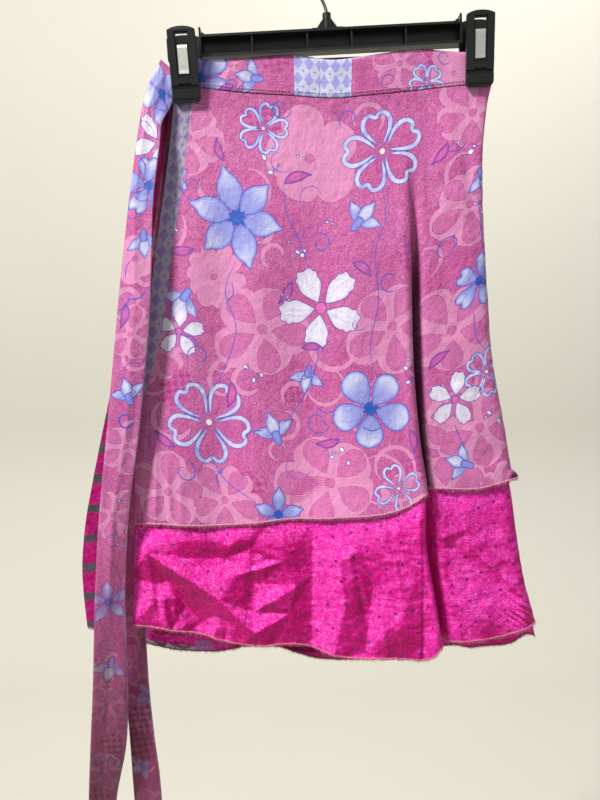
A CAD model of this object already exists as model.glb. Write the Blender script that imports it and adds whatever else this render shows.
# Looks of the wrap skirt on its clip hanger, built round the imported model. Metres in Blender; the tables are in millimetres.
import math
import bpy
import numpy as np
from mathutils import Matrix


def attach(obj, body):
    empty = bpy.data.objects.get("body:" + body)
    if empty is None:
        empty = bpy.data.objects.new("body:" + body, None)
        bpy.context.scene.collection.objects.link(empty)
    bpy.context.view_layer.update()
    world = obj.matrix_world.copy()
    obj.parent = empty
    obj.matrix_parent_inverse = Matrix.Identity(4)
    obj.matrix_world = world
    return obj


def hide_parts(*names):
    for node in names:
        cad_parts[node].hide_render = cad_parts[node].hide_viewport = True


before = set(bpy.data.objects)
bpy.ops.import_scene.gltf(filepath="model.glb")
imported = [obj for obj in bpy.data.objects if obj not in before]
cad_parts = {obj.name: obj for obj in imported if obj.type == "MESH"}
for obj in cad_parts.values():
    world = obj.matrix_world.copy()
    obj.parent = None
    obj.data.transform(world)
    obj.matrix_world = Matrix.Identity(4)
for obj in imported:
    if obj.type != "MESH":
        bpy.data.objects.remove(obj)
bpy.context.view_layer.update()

TAU = 2 * math.pi
rng = np.random.default_rng(7)

# ---- driving dimensions, as in the construction (mm) -----------------------------------------------------------
CLOTH = 1.0
LAYER_GAP = 0.7
SEAM_GAP = 0.3
FACET_ROOM = 0.3
WAIST_Y = 2.3
BAND_WALL = 2.0
TIE_WALL = 1.6


def table(columns, rows):
    names = columns.split()
    a = np.array(rows, float)
    return {c: a[:, i] for i, c in enumerate(names)}


WAIST = table("at x seamZ bandTopZ", [
    (0.00, -146, -136.0, -111.4), (0.08, -121, -137.3, -110.9), (0.21, -82, -142.0, -110.4), (0.37, -33, -144.8, -107.2),
    (0.50, 6, -147.1, -111.9), (0.62, 45, -144.0, -107.2), (0.76, 87, -140.1, -102.2), (0.85, 113, -137.1, -104.0),
    (1.00, 160, -133.0, -107.0)])
FRONT = table("drop leftX leftY midY crestX crestY gutterX gutterY lipX lipY rightX fold round", [
    (0, -146, -2.3, -2.3, 76, -2.3, 81, -2.3, 90, -2.3, 158.3, 0, 2.3),
    (20, -147, -2.5, -2.5, 76, -2.5, 81, -2.4, 90, -2.4, 154.5, 0, 2.4),
    (70, -153, -4.5, -7.5, 77.5, -8.0, 84, -6.0, 93, -6.0, 151.6, 0.1, 4),
    (130, -162, -6.0, -12, 81, -16, 85, -5, 94.5, -9, 154.5, 0.6, 6),
    (200, -172, -8.0, -15, 82.5, -22, 84, 0, 95.5, -12, 160.5, 1, 8),
    (270, -180, -10, -17, 85.5, -26, 84, 0, 98, -14, 168.5, 1, 9),
    (335, -188, -11, -18, 92, -30, 90, -4, 101.5, -16, 182.5, 1, 10),
    (385, -191.5, -12, -18, 100, -32, 97, -8, 107, -18, 190.5, 1, 10),
    (440, -193, -13, -19, 101.5, -33, 100, -6, 113.5, -18, 199.5, 1, 11),
    (495, -196, -14, -20, 111.5, -34, 110, -6, 120.5, -19, 210, 1, 12),
    (560, -197.5, -14, -21, 122.5, -34, 121, -8, 130, -19, 229, 1, 12)])
FRONT_LENGTH = table("at upper under", [
    (0.00, 428.0, 535.5), (0.14, 425.5, 540.5), (0.28, 418.5, 546.5), (0.37, 412.5, 544.0), (0.47, 408.5, 553.5),
    (0.58, 405.5, 557.0), (0.64, 398.0, 557.5), (0.69, 388.0, 546.5), (0.76, 386.5, 547.5), (0.88, 392.0, 549.5),
    (1.00, 386.0, 539.5)])
BACK = table("drop leftX leftY waveY hollowY rightX round", [
    (0, -150, 2.3, 2.3, 2.3, 158.3, 2.3), (20, -154, 2.5, 2.5, 2.5, 154.5, 2.4), (70, -169, 5.5, 7.5, 5.5, 151.6, 4),
    (130, -183, 8.0, 12, 7.5, 154.5, 6), (200, -199, 9.0, 16, 9, 160.5, 8), (270, -214, 9.5, 19, 10, 168.5, 9),
    (335, -229, 9.0, 21, 10, 182.5, 10), (385, -240.5, 8.5, 22, 11, 190.5, 10), (440, -251.5, 8.0, 23, 11, 199.5, 11),
    (495, -256, 8.0, 24, 12, 210, 12), (590, -249, 8.0, 25, 12, 231, 12)])
BACK_LENGTH = table("at upper under", [
    (0.00, 352, 549), (0.14, 414, 572), (0.28, 424, 577), (0.42, 416, 566), (0.58, 410, 580), (0.76, 404, 576),
    (1.00, 385, 560)])
TIE_COLUMNS = "lx lz rx rz y crease creaseY turn"
TIE_1 = table(TIE_COLUMNS, [
    (-158.6, -111.5, -149.0, -119.5, -2.4, 0.3, 0.0, 0), (-161.5, -119.0, -146.5, -146.5, -4.0, 0.3, -0.6, 0.5),
    (-168.4, -134.2, -148.5, -157.0, -8.0, 0.3, -1.5, 1.0), (-175.0, -158.0, -156.0, -174.0, -13, 0.28, -2.5, 2.0),
    (-180.0, -188.0, -157.2, -194.0, -17, 0.25, -3.5, 3.0), (-189.0, -250.0, -163.5, -250.0, -22, 0.3, -4.0, 4.0),
    (-198.5, -328.0, -167.0, -328.0, -26, 0.5, -3.0, 3.0), (-205.0, -390.0, -172.5, -390.0, -28, 0.55, -3.0, 1.0),
    (-213.7, -466.0, -182.0, -466.0, -29, 0.6, -2.0, 0.0), (-223.7, -552.0, -195.4, -552.0, -29, 0.5, -2.5, -2.0),
    (-232.1, -641.0, -202.2, -641.0, -26, 0.5, -2.0, -2.0), (-240.0, -735.0, -203.2, -735.0, -20, 0.45, 2.5, 0.0),
    (-247.0, -802.0, -208.0, -802.0, -15, 0.4, 2.0, 2.0), (-252.8, -871.0, -221.3, -871.0, -12, 0.5, 1.0, 3.0),
    (-255.0, -940.0, -222.0, -940.0, -11, 0.5, 1.5, 1.0), (-253.0, -1012.0, -219.0, -1012.0, -11, 0.5, 1.5, 0.0)])
TIE_2 = table(TIE_COLUMNS, [
    (-150.0, -139.0, -126.0, -139.5, 0.0, 0.5, 0, 0), (-152.0, -160.0, -127.0, -160.0, 0.4, 0.5, 0, 0),
    (-162.0, -225.0, -134.0, -225.0, 1.0, 0.5, 0.8, 0), (-180.0, -330.0, -152.0, -330.0, 0.5, 0.5, 1.5, 1.0),
    (-195.5, -440.0, -166.0, -440.0, 0.0, 0.5, 1.5, 1.0), (-205.5, -550.0, -176.0, -550.0, -1.0, 0.5, 1.2, 1.0),
    (-212.0, -660.0, -186.5, -660.0, -1.0, 0.5, 0.8, 1.0), (-212.5, -735.0, -186.5, -735.0, -1.0, 0.5, 0.6, 0.6),
    (-209.0, -803.0, -181.8, -803.0, -1.0, 0.5, 0.6, 0.4), (-207.0, -850.0, -177.2, -850.0, -1.0, 0.5, 0.8, 0.0),
    (-205.0, -900.0, -175.0, -900.0, -1.0, 0.5, 1.0, 0.0), (-203.0, -980.0, -172.0, -980.0, -1.0, 0.5, 1.0, 0.0)])
BAND_SEAMS = {"left": 0.377, "middle": 0.46, "right": 0.556}


# ---- curves and sections -----------------------------------------------------------------------------------------
def look_up(tab, key, value, column):
    """A smooth value of one column at a key, between the table's rows."""
    x, y = tab[key], tab[column]
    n = len(x)
    v = np.clip(value, x[0], x[-1])
    i = np.clip(np.searchsorted(x, v, side="left") - 1, 0, n - 2)
    lo, hi = np.maximum(0, np.arange(n) - 1), np.minimum(n - 1, np.arange(n) + 1)
    m = (y[hi] - y[lo]) / (x[hi] - x[lo])
    h = x[i + 1] - x[i]
    t = (v - x[i]) / h
    t2, t3 = t * t, t * t * t
    return (2 * t3 - 3 * t2 + 1) * y[i] + (t3 - 2 * t2 + t) * h * m[i] + (3 * t2 - 2 * t3) * y[i + 1] + (t3 - t2) * h * m[i + 1]


def lerp(a, b, t):
    return a + (b - a) * t


def smooth(a, b, x):
    t = np.clip((x - a) / (b - a), 0, 1)
    return t * t * (3 - 2 * t)


FRONT_AT = np.array([0, 0.0828, 0.276, 0.4968, 0.645, 0.68, 0.69, 0.705, 0.73, 0.76, 0.83, 0.92, 0.975, 0.99, 1.0])
BACK_AT = np.array([0, 0.12, 0.3, 0.5, 0.72, 0.9, 0.975, 0.99, 1.0])


def front_points(drop):
    f = {c: look_up(FRONT, "drop", drop, c) for c in FRONT}
    k = np.clip(f["fold"], 0, 1)
    rx, w, r = f["rightX"], f["rightX"] - f["lipX"], f["round"]
    left = lambda t: lerp(f["leftX"], f["crestX"], t)
    xs = [left(0), left(0.12), left(0.4), left(0.72), f["crestX"] - 15, f["crestX"] - 4, f["crestX"],
          f["crestX"] + 2.5 * (1 - k) - 1.0 * k, lerp(f["gutterX"], f["gutterX"] + 2, k), f["lipX"], f["lipX"] + 0.3 * w,
          f["lipX"] + 0.68 * w, rx - 0.6 * r, rx - 0.07 * r, rx]
    ys = [f["leftY"], lerp(f["leftY"], f["midY"], 0.5), f["midY"], lerp(f["midY"], f["crestY"], 0.4),
          lerp(f["midY"], f["crestY"], 0.85), f["crestY"], f["crestY"] + 4 * k, lerp(f["crestY"], f["gutterY"], 0.55),
          f["gutterY"], f["lipY"], lerp(f["lipY"], -r, 0.2) - 0.05 * r, lerp(f["lipY"], -r, 0.75), -0.8 * r, -0.35 * r,
          np.full_like(rx, -SEAM_GAP / 2)]
    return np.array(xs), np.array(ys)


def back_points(drop):
    b = {c: look_up(BACK, "drop", drop, c) for c in BACK}
    rx, r = b["rightX"], b["round"]
    along = lambda t: lerp(b["leftX"], rx, t)
    xs = [along(0), along(0.12), along(0.3), along(0.5), along(0.72), along(0.9), rx - 0.6 * r, rx - 0.07 * r, rx]
    ys = [b["leftY"], lerp(b["leftY"], b["waveY"], 0.55), b["waveY"], b["hollowY"], lerp(b["hollowY"], b["waveY"], 0.8),
          lerp(r, b["waveY"], 0.35), 0.8 * r, 0.35 * r, np.full_like(rx, SEAM_GAP / 2)]
    return np.array(xs), np.array(ys)


def on_section(xs, ys, span, t):
    """The point of a smooth curve through section points, in one span; xs and ys hold a row for each point."""
    n = len(xs)
    p = [np.stack([xs[j], ys[j]]) for j in (max(0, span - 1), span, span + 1, min(n - 1, span + 2))]
    d = [np.maximum(np.sqrt(np.hypot(*(p[j + 1] - p[j]))), 1e-6) for j in range(3)]
    m1 = p[2] - p[1] if span == 0 else ((p[1] - p[0]) / d[0] - (p[2] - p[0]) / (d[0] + d[1]) + (p[2] - p[1]) / d[1]) * d[1]
    m2 = p[2] - p[1] if span == n - 2 else ((p[2] - p[1]) / d[1] - (p[3] - p[1]) / (d[1] + d[2]) + (p[3] - p[2]) / d[2]) * d[1]
    t2, t3 = t * t, t * t * t
    return (2 * t3 - 3 * t2 + 1) * p[1] + (t3 - 2 * t2 + t) * m1 + (3 * t2 - 2 * t3) * p[2] + (t3 - t2) * m2


def even_columns(points_of, step, drops=(60.0, 200.0, 330.0, 420.0, 520.0)):
    """Places along the section, (span, t), about a step apart where the cloth is widest."""
    d = np.array(drops)
    xs, ys = points_of(d)
    spans, fine = len(xs) - 1, 24
    keys, pts = [], []
    for s in range(spans):
        for q in range(fine + (s == spans - 1)):
            keys.append(s + q / fine)
            pts.append(on_section(xs, ys, s, q / fine))
    pts = np.array(pts)
    length = np.concatenate([[0], np.cumsum(np.hypot(*(pts[1:] - pts[:-1]).transpose(1, 0, 2)).max(1))])
    n = int(round(length[-1] / step))
    at = np.interp(np.linspace(0, length[-1], n + 1), length, np.array(keys))
    return [(min(int(k), spans - 1), k - min(int(k), spans - 1)) for k in at]


class Side:
    """One side of the skirt on a grid: rows down the cloth, columns across it."""

    def __init__(self, points_of, knots, lengths, which, step, shares, outward, ref):
        cols = even_columns(points_of, step)
        self.at = np.array([lerp(knots[s], knots[s + 1], t) for s, t in cols])
        x0, _ = points_of(np.zeros(1))
        y0 = _
        top_x = np.array([on_section(x0, y0, s, t)[0, 0] for s, t in cols])
        length = look_up(lengths, "at", self.at, which)
        first = SEAM_GAP / 2 + FACET_ROOM
        self.drop = first + np.array(shares)[:, None] * (length - first)[None, :]
        P = np.zeros(self.drop.shape + (3,))
        for j, (s, t) in enumerate(cols):
            q = on_section(*points_of(self.drop[:, j]), s, t)
            P[:, j, 0], P[:, j, 1] = q
            P[:, j, 2] = look_up(WAIST, "x", top_x[j], "seamZ") - self.drop[:, j]
        self.P = P
        self.length = length
        a, b = np.gradient(P, axis=1), np.gradient(P, axis=0)
        n = np.cross(a, b) * outward
        self.N = n / np.linalg.norm(n, axis=2, keepdims=True)
        seg = np.linalg.norm(np.diff(P, axis=1), axis=2)
        arc = np.concatenate([np.zeros((len(P), 1)), np.cumsum(seg, axis=1)], axis=1)
        self.edge = arc                                   # mm from the free edge
        j = int(np.argmin(abs(self.at - ref)))
        self.s = arc - arc[:, j:j + 1]                    # the cloth's own place across
        self.t = self.drop.copy()                         # and down


# ---- soft shapes in the cloth --------------------------------------------------------------------------------------
def ridge(x, z, line, height, left, right, soft=1.5, ends=18.0):
    """A crease along a line (x0, z0, x1, z1): its height, and how far it runs out on the left and on the right of it."""
    x0, z0, x1, z1 = line
    L = math.hypot(x1 - x0, z1 - z0)
    ux, uz = (x1 - x0) / L, (z1 - z0) / L
    along = (x - x0) * ux + (z - z0) * uz
    side = -(x - x0) * uz + (z - z0) * ux                 # positive on the left of the way it runs
    r = np.sqrt(side * side + soft * soft) - soft
    w = np.where(side > 0, left, right)
    e = min(ends, L * 0.5)
    fade = smooth(-0.3 * e, e, along) * smooth(-0.3 * e, e, L - along)
    return height * np.exp(-r / w) * fade


def facet(x, z, line, height, left, right, soft=2.0, ends=18.0):
    """A fold with two nearly flat sides that run down to the cloth within left and right of its crest."""
    x0, z0, x1, z1 = line
    L = math.hypot(x1 - x0, z1 - z0)
    ux, uz = (x1 - x0) / L, (z1 - z0) / L
    along = (x - x0) * ux + (z - z0) * uz
    side = -(x - x0) * uz + (z - z0) * ux
    r = np.sqrt(side * side + soft * soft) - soft
    f = r / np.where(side > 0, left, right)
    k = np.maximum(0, 1 - f)
    k = np.where(k < 0.2, k * k / 0.4, k - 0.1) / 0.9
    e = min(ends, L * 0.5)
    return height * k * smooth(-0.3 * e, e, along) * smooth(-0.3 * e, e, L - along)


def trough(x, z, line, depth, width, ends=18.0):
    x0, z0, x1, z1 = line
    L = math.hypot(x1 - x0, z1 - z0)
    ux, uz = (x1 - x0) / L, (z1 - z0) / L
    along = (x - x0) * ux + (z - z0) * uz
    side = -(x - x0) * uz + (z - z0) * ux
    e = min(ends, L * 0.5)
    fade = smooth(-0.3 * e, e, along) * smooth(-0.3 * e, e, L - along)
    return -depth * np.exp(-(side / width) ** 2) * fade


def plates(x, z, points, creases, soft=0.9):
    """Flat facets between hand-placed points (x, z, height), with given creases between them, a little rounded."""
    from mathutils import Vector
    from mathutils.geometry import delaunay_2d_cdt
    vo, _, tri, ids, _, _ = delaunay_2d_cdt([Vector((p[0], p[1])) for p in points], creases, [], 0, 1e-4)
    h = [sum(points[k][2] for k in i) / len(i) if i else 0.0 for i in ids]
    out = np.zeros(x.shape)
    for ox, oz in ((soft, 0), (-soft, 0), (0, soft), (0, -soft), (0, 0)):
        px, pz = x + ox, z + oz
        for a, b, c in tri:
            (ax, az), (bx, bz), (cx, cz) = vo[a], vo[b], vo[c]
            det = (bz - cz) * (ax - cx) + (cx - bx) * (az - cz)
            if abs(det) < 1e-6:
                continue
            m = (px >= min(ax, bx, cx)) & (px <= max(ax, bx, cx)) & (pz >= min(az, bz, cz)) & (pz <= max(az, bz, cz))
            u = ((bz - cz) * (px[m] - cx) + (cx - bx) * (pz[m] - cz)) / det
            v = ((cz - az) * (px[m] - cx) + (ax - cx) * (pz[m] - cz)) / det
            w = 1 - u - v
            ok = (u >= 0) & (v >= 0) & (w > 0)
            i = np.nonzero(m.ravel())[0][ok]
            out.ravel()[i] += (u * h[a] + v * h[b] + w * h[c])[ok] * 0.2
    return out


def noise2(x, y, size, seed, octaves=2):
    """Smooth seeded noise from -1 to 1."""
    out, amp, total = 0.0, 1.0, 0.0
    for o in range(octaves):
        u, v = x / size * 2 ** o + 17.3 * o, y / size * 2 ** o + 5.1 * o
        iu, iv = np.floor(u).astype(int), np.floor(v).astype(int)
        fu, fv = u - iu, v - iv
        fu, fv = fu * fu * (3 - 2 * fu), fv * fv * (3 - 2 * fv)
        h = np.random.default_rng(seed + o).uniform(-1, 1, 4096)
        val = lambda a, b: h[(a * 73 + b * 151 + a * b * 7) % 4096]
        out = out + amp * ((val(iu, iv) * (1 - fu) + val(iu + 1, iv) * fu) * (1 - fv)
                           + (val(iu, iv + 1) * (1 - fu) + val(iu + 1, iv + 1) * fu) * fv)
        total += amp
        amp *= 0.5
    return out / total


# ---- the printed motifs: outlines in cloth millimetres, s to the right and t down ----------------------------------
def lin(r, g, b):
    f = lambda c: c / 255 / 12.92 if c <= 10 else ((c / 255 + 0.055) / 1.055) ** 2.4
    return np.array([f(r), f(g), f(b)])


PALE, LILAC, PERI, DEEP = lin(204, 205, 232), lin(180, 179, 225), lin(148, 151, 217), lin(120, 126, 208)
BLUE, NAVY, CREAM, WHITE = lin(58, 76, 172), lin(40, 60, 165), lin(232, 221, 204), lin(226, 222, 236)
TONE, TONE_IN, ROSE, PLUM = lin(228, 134, 190), lin(196, 84, 156), lin(214, 100, 170), lin(160, 40, 122)
VIOLET = lin(120, 80, 180)


def spline(points, n=8, closed=True):
    p = np.array(points, float)
    m = len(p)
    out = []
    for i in range(m if closed else m - 1):
        a, b, c, d = ((p[(i - 1) % m], p[i], p[(i + 1) % m], p[(i + 2) % m]) if closed else
                      (p[max(0, i - 1)], p[i], p[i + 1], p[min(m - 1, i + 2)]))
        for q in range(n):
            t = q / n
            out.append(0.5 * (2 * b + (c - a) * t + (2 * a - 5 * b + 4 * c - d) * t * t + (3 * b - a - 3 * c + d) * t ** 3))
    if not closed:
        out.append(p[-1])
    return np.array(out)


def polygon_sd(p, poly):
    a, e = poly, np.roll(poly, -1, 0) - poly
    out = np.empty(len(p))
    for k in range(0, len(p), 4000):
        w = p[k:k + 4000, None, :] - a[None]
        t = np.clip((w * e).sum(2) / np.maximum((e * e).sum(1), 1e-9), 0, 1)
        d = np.sqrt(((w - e[None] * t[..., None]) ** 2).sum(2).min(1))
        y = p[k:k + 4000, 1:2]
        ay, by = a[None, :, 1], (a + e)[None, :, 1]
        cross = e[None, :, 0] * w[..., 1] - e[None, :, 1] * w[..., 0]
        up, down = (ay <= y) & (by > y) & (cross > 0), (ay > y) & (by <= y) & (cross < 0)
        wind = up.sum(1) - down.sum(1)
        out[k:k + 4000] = np.where(wind != 0, -d, d)
    return out


PETALS = {  # half outlines from the base (0) to the tip (1): place along, half width
    "round": ([(0.05, 0.06), (0.2, 0.24), (0.42, 0.42), (0.66, 0.5), (0.86, 0.4), (0.97, 0.17)], 1.0),
    "point": ([(0.05, 0.07), (0.22, 0.3), (0.46, 0.44), (0.7, 0.37), (0.88, 0.16)], 1.04),
    "heart": ([(0.05, 0.06), (0.22, 0.24), (0.45, 0.43), (0.7, 0.54), (0.92, 0.46), (1.02, 0.22)], 0.9),
    "slim": ([(0.04, 0.05), (0.2, 0.2), (0.5, 0.3), (0.8, 0.2), (0.94, 0.08)], 1.03),
    "frill": ([(0.05, 0.06), (0.2, 0.25), (0.4, 0.45), (0.56, 0.5), (0.64, 0.46), (0.78, 0.5), (0.84, 0.38), (0.97, 0.28)], 0.93),
    "drop": ([(0.02, 0.04), (0.3, 0.2), (0.62, 0.42), (0.86, 0.36), (0.97, 0.16)], 1.0),
}


def petal(cx, cy, angle, length, width, kind="round", bend=0.0, start=0.0):
    """Outline and own frame (u along, v across) of one petal that leaves (cx, cy) at an angle, 0 to the right, 90 down."""
    half, tip = PETALS[kind]
    pts = [(0.0, 0.0)] + [(u, v) for u, v in half] + [(tip, 0.0)] + [(u, -v) for u, v in reversed(half)]
    pts = np.array(pts)
    u, v = start + pts[:, 0] * length, pts[:, 1] * width
    turn = math.radians(angle) + bend * pts[:, 0] ** 1.5
    out = np.stack([cx + u * np.cos(turn) - v * np.sin(turn), cy + u * np.sin(turn) + v * np.cos(turn)], 1)
    frame_ = (cx + start * math.cos(math.radians(angle)), cy + start * math.sin(math.radians(angle)), math.radians(angle), length, width)
    return spline(out, 6), frame_


def ring_of(cx, cy, r, k=1.0, angle=0.0, n=10):
    a = np.linspace(0, TAU, n, endpoint=False)
    x, y = r * np.cos(a), k * r * np.sin(a)
    c, s = math.cos(angle), math.sin(angle)
    return spline(np.stack([cx + x * c - y * s, cy + x * s + y * c], 1), 4)


class Print:
    """Signed distances and colours of the motifs, at given places of the cloth."""
    FILLED = ("back", "mid", "fore")

    def __init__(self, s, t):
        self.shape_of = s.shape
        self.p = np.stack([s.ravel(), t.ravel()], 1)
        n = len(self.p)
        self.sd = {c: np.full(n, 9.0) for c in self.FILLED + ("tone", "inner", "check", "plume", "hush")}
        self.col = {c: np.tile(PERI, (n, 1)) for c in self.FILLED}
        self.vein = np.zeros(n)
        self.plume_at = np.zeros(n)
        self.side = {c: np.full(n, 9.0) for c in ("one", "two", "ribbon")}
        self.wide = {c: np.zeros(n) for c in ("one", "two", "ribbon")}
        self.ink = {c: np.tile(BLUE, (n, 1)) for c in ("one", "two", "ribbon")}
        self.owner = np.full(n, 9.0)

    def near(self, pts, margin):
        lo, hi = pts.min(0) - margin, pts.max(0) + margin
        return np.nonzero(((self.p > lo) & (self.p < hi)).all(1))[0]

    def shape(self, channel, poly, colour=None, own=None, shade=0.0, edge=None, veins=0.0, tips=None):
        i = self.near(poly, 7)
        if not len(i):
            return
        d = polygon_sd(self.p[i], poly)
        before = self.sd[channel][i]
        mine = d < before
        self.sd[channel][i] = np.where(mine, d, before)
        if colour is None:
            return
        k = i[mine]
        q, dd = self.p[k], d[mine]
        c = np.tile(colour, (len(k), 1))
        if own is not None:
            cx, cy, a, L, W = own
            x, y = q[:, 0] - cx, q[:, 1] - cy
            u = (x * math.cos(a) + y * math.sin(a)) / L
            v = (-x * math.sin(a) + y * math.cos(a)) / W
            if tips is not None:
                c = lerp(c, tips, smooth(0.35, 0.95, u)[:, None])
            if shade:
                c = c * (1 - shade * smooth(0.5, 0.0, u)[:, None])
            if veins:
                self.vein[k] = veins * v / np.maximum(0.25, np.sin(np.clip(u, 0.05, 0.95) * math.pi)) + 0.35 * np.sin(7 * u)
        if edge is not None:
            c = lerp(edge, c, smooth(0.0, 3.6, -dd)[:, None])
        self.col[channel][k] = c

    def line(self, channel, points, w, colour=BLUE, taper=(0.35, 0.35), smooth_it=True):
        pts = spline(points, 7, closed=False) if smooth_it else np.array(points, float)
        i = self.near(pts, 6 + (w if np.isscalar(w) else max(w)))
        if not len(i):
            return
        a, e = pts[:-1], np.diff(pts, axis=0)
        L = np.linalg.norm(e, axis=1)
        start = np.concatenate([[0], np.cumsum(L)])
        best_d, best_side, best_along = np.full(len(i), 1e9), np.zeros(len(i)), np.zeros(len(i))
        q = self.p[i]
        for k in range(len(a)):
            x, y = q[:, 0] - a[k, 0], q[:, 1] - a[k, 1]
            ux, uy = e[k] / L[k]
            al = x * ux + y * uy
            sd = -x * uy + y * ux
            cl = np.clip(al, 0, L[k])
            d = np.hypot(sd, al - cl)
            free = (al if k == 0 else np.maximum(al, 0)) if k < len(a) - 1 else (np.maximum(al, 0) if len(a) > 1 else al)
            free = np.minimum(free, L[k]) if k < len(a) - 1 else free
            m = d < best_d
            best_d[m], best_along[m] = d[m], (start[k] + free)[m]
            best_side[m] = np.where(al < 0, np.where(sd < 0, -1, 1) * d, np.where(al > L[k], np.where(sd < 0, -1, 1) * d, sd))[m]
        f = best_along / start[-1]
        width = w if np.isscalar(w) else np.interp(f, np.linspace(0, 1, len(w)), w)
        width = width * np.clip(f / max(taper[0], 1e-3) + 0.35, 0, 1) * np.clip((1 - f) / max(taper[1], 1e-3) + 0.35, 0, 1)
        width = np.where(best_along < 0, best_along, np.where(best_along > start[-1], start[-1] - best_along, width))
        gap_new, gap_old = best_d - np.maximum(width, 0), abs(self.side[channel][i]) - np.maximum(self.wide[channel][i], 0)
        m = gap_new < gap_old
        k = i[m]
        self.side[channel][k], self.wide[channel][k], self.ink[channel][k] = best_side[m], width[m], colour

    def fan(self, poly, cx, cy, angle, pitch, curl):
        """A plume: stripes that leave a mid rib at (cx, cy) like barbs."""
        i = self.near(poly, 7)
        if not len(i):
            return
        d = polygon_sd(self.p[i], poly)
        m = d < self.sd["plume"][i]
        k = i[m]
        self.sd["plume"][k] = d[m]
        x, y = self.p[k, 0] - cx, self.p[k, 1] - cy
        a = math.radians(angle)
        u, v = x * math.cos(a) + y * math.sin(a), -x * math.sin(a) + y * math.cos(a)
        self.plume_at[k] = (u - curl * np.sqrt(v * v + 1.0)) / pitch

    # -- motifs --
    def bloom(self, cx, cy, r, turn=0.0, n=5, kind="round", wide=0.72, fill=PERI, tips=PALE, heart=True, order=("back", "mid"), bend=0.0):
        for i in range(n):
            ch = order[i % len(order)] if not (n % 2 and i == n - 1) else "fore"
            k = 1 + 0.08 * math.sin(2.3 * i + turn)
            poly, own = petal(cx, cy, turn + 360 * i / n, r * k, r * wide, kind, bend, start=r * 0.1)
            self.shape(ch, poly, fill, own, shade=0.1, edge=DEEP, veins=9.5, tips=tips)
        if heart:
            pts = []
            for i in range(18):
                q = r * (0.15 if i % 2 else 0.22) * (1 + 0.12 * math.sin(4.1 * i))
                pts.append((cx + q * math.cos(TAU * i / 18), cy + q * math.sin(TAU * i / 18)))
            self.shape("fore", spline(pts, 3), lin(34, 84, 178))

    def outline_flower(self, cx, cy, r, turn=0.0, n=5, kind="heart", skip=(), w=2.4):
        """Open petals drawn with a broad pale ribbon."""
        for i in range(n):
            if i in skip:
                continue
            poly, own = petal(cx, cy, turn + 360 * i / n, r, r * 0.78, kind, start=r * 0.14)
            cut = int(len(poly) * 0.06)
            arc = poly[cut:-cut][::3]
            self.line("ribbon", arc, [0.7, w, w * 0.8, w, 0.7], PERI if i % 2 else LILAC, (0.1, 0.1))
        self.shape("fore", ring_of(cx, cy, r * 0.1), CREAM)

    def striped(self, cx, cy, r, turn=0.0, n=5):
        """Pale frilled petals hatched with fine lines."""
        for i in range(n):
            poly, own = petal(cx, cy, turn + 360 * i / n, r, r * 0.62, "frill", start=r * 0.16)
            self.shape("back" if i % 2 else "mid", poly, WHITE, own, edge=lin(226, 206, 224), veins=10.0, tips=lin(226, 214, 232))
        self.shape("fore", ring_of(cx, cy, r * 0.15), ROSE)

    def bell(self, cx, cy, r, turn=0.0):
        """A bud with three lobes opening along its turn."""
        a = math.radians(turn)
        for k, (da, L, W, ch, col) in enumerate([(-38, 0.9, 0.5, "back", PERI), (38, 0.92, 0.5, "back", LILAC), (0, 1.0, 0.56, "mid", PALE)]):
            poly, own = petal(cx, cy, turn + da, r * L, r * W, "point", bend=(-0.35 if da < 0 else 0.35 if da else 0))
            self.shape(ch, poly, col, own, shade=0.15, edge=PERI, veins=6.5, tips=WHITE)
        cup = spline([(cx - 0.22 * r * math.cos(a) + 0.10 * r * math.sin(a), cy - 0.22 * r * math.sin(a) - 0.10 * r * math.cos(a)),
                      (cx + 0.2 * r * math.cos(a) + 0.15 * r * math.sin(a), cy + 0.2 * r * math.sin(a) - 0.15 * r * math.cos(a)),
                      (cx + 0.3 * r * math.cos(a), cy + 0.3 * r * math.sin(a)),
                      (cx + 0.2 * r * math.cos(a) - 0.15 * r * math.sin(a), cy + 0.2 * r * math.sin(a) + 0.15 * r * math.cos(a)),
                      (cx - 0.22 * r * math.cos(a) - 0.10 * r * math.sin(a), cy - 0.22 * r * math.sin(a) + 0.10 * r * math.cos(a))], 6)
        self.shape("fore", cup, lin(140, 146, 226), edge=DEEP)

    def leaf(self, cx, cy, L, turn, channel="mid", colour=None, wide=0.42):
        poly, own = petal(cx, cy, turn, L, L * wide, "point", bend=0.3)
        self.shape(channel, poly, ROSE if colour is None else colour, own, edge=PLUM if colour is None else DEEP, veins=0.0)
        a = math.radians(turn)
        rib = [(cx, cy)] + [(cx + L * q * math.cos(a + 0.3 * q ** 1.5), cy + L * q * math.sin(a + 0.3 * q ** 1.5)) for q in (0.25, 0.5, 0.75, 0.92)]
        self.line("two", rib, 0.45, VIOLET)

    def tonal_flower(self, cx, cy, r, turn=0.0, n=5, kind="round", band=0.2, solid=False):
        """A large pale flower, tone on tone: a broad band round each stippled petal."""
        for i in range(n):
            a = turn + 360 * i / n
            k = 1 + 0.12 * math.sin(1.7 * i + turn)
            poly, _ = petal(cx, cy, a, r * k, r * 0.92, kind, start=r * 0.02)
            self.shape("tone", poly)
            if not solid:
                inner, _ = petal(cx, cy, a + 2, r * k * (0.82 - band * 0.3), r * (0.92 - 2.1 * band), kind, start=r * (0.16 + band * 0.2))
                self.shape("inner", inner)
        self.shape("tone", ring_of(cx, cy, r * 0.2))
        self.shape("inner", ring_of(cx, cy, r * 0.1))

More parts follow.
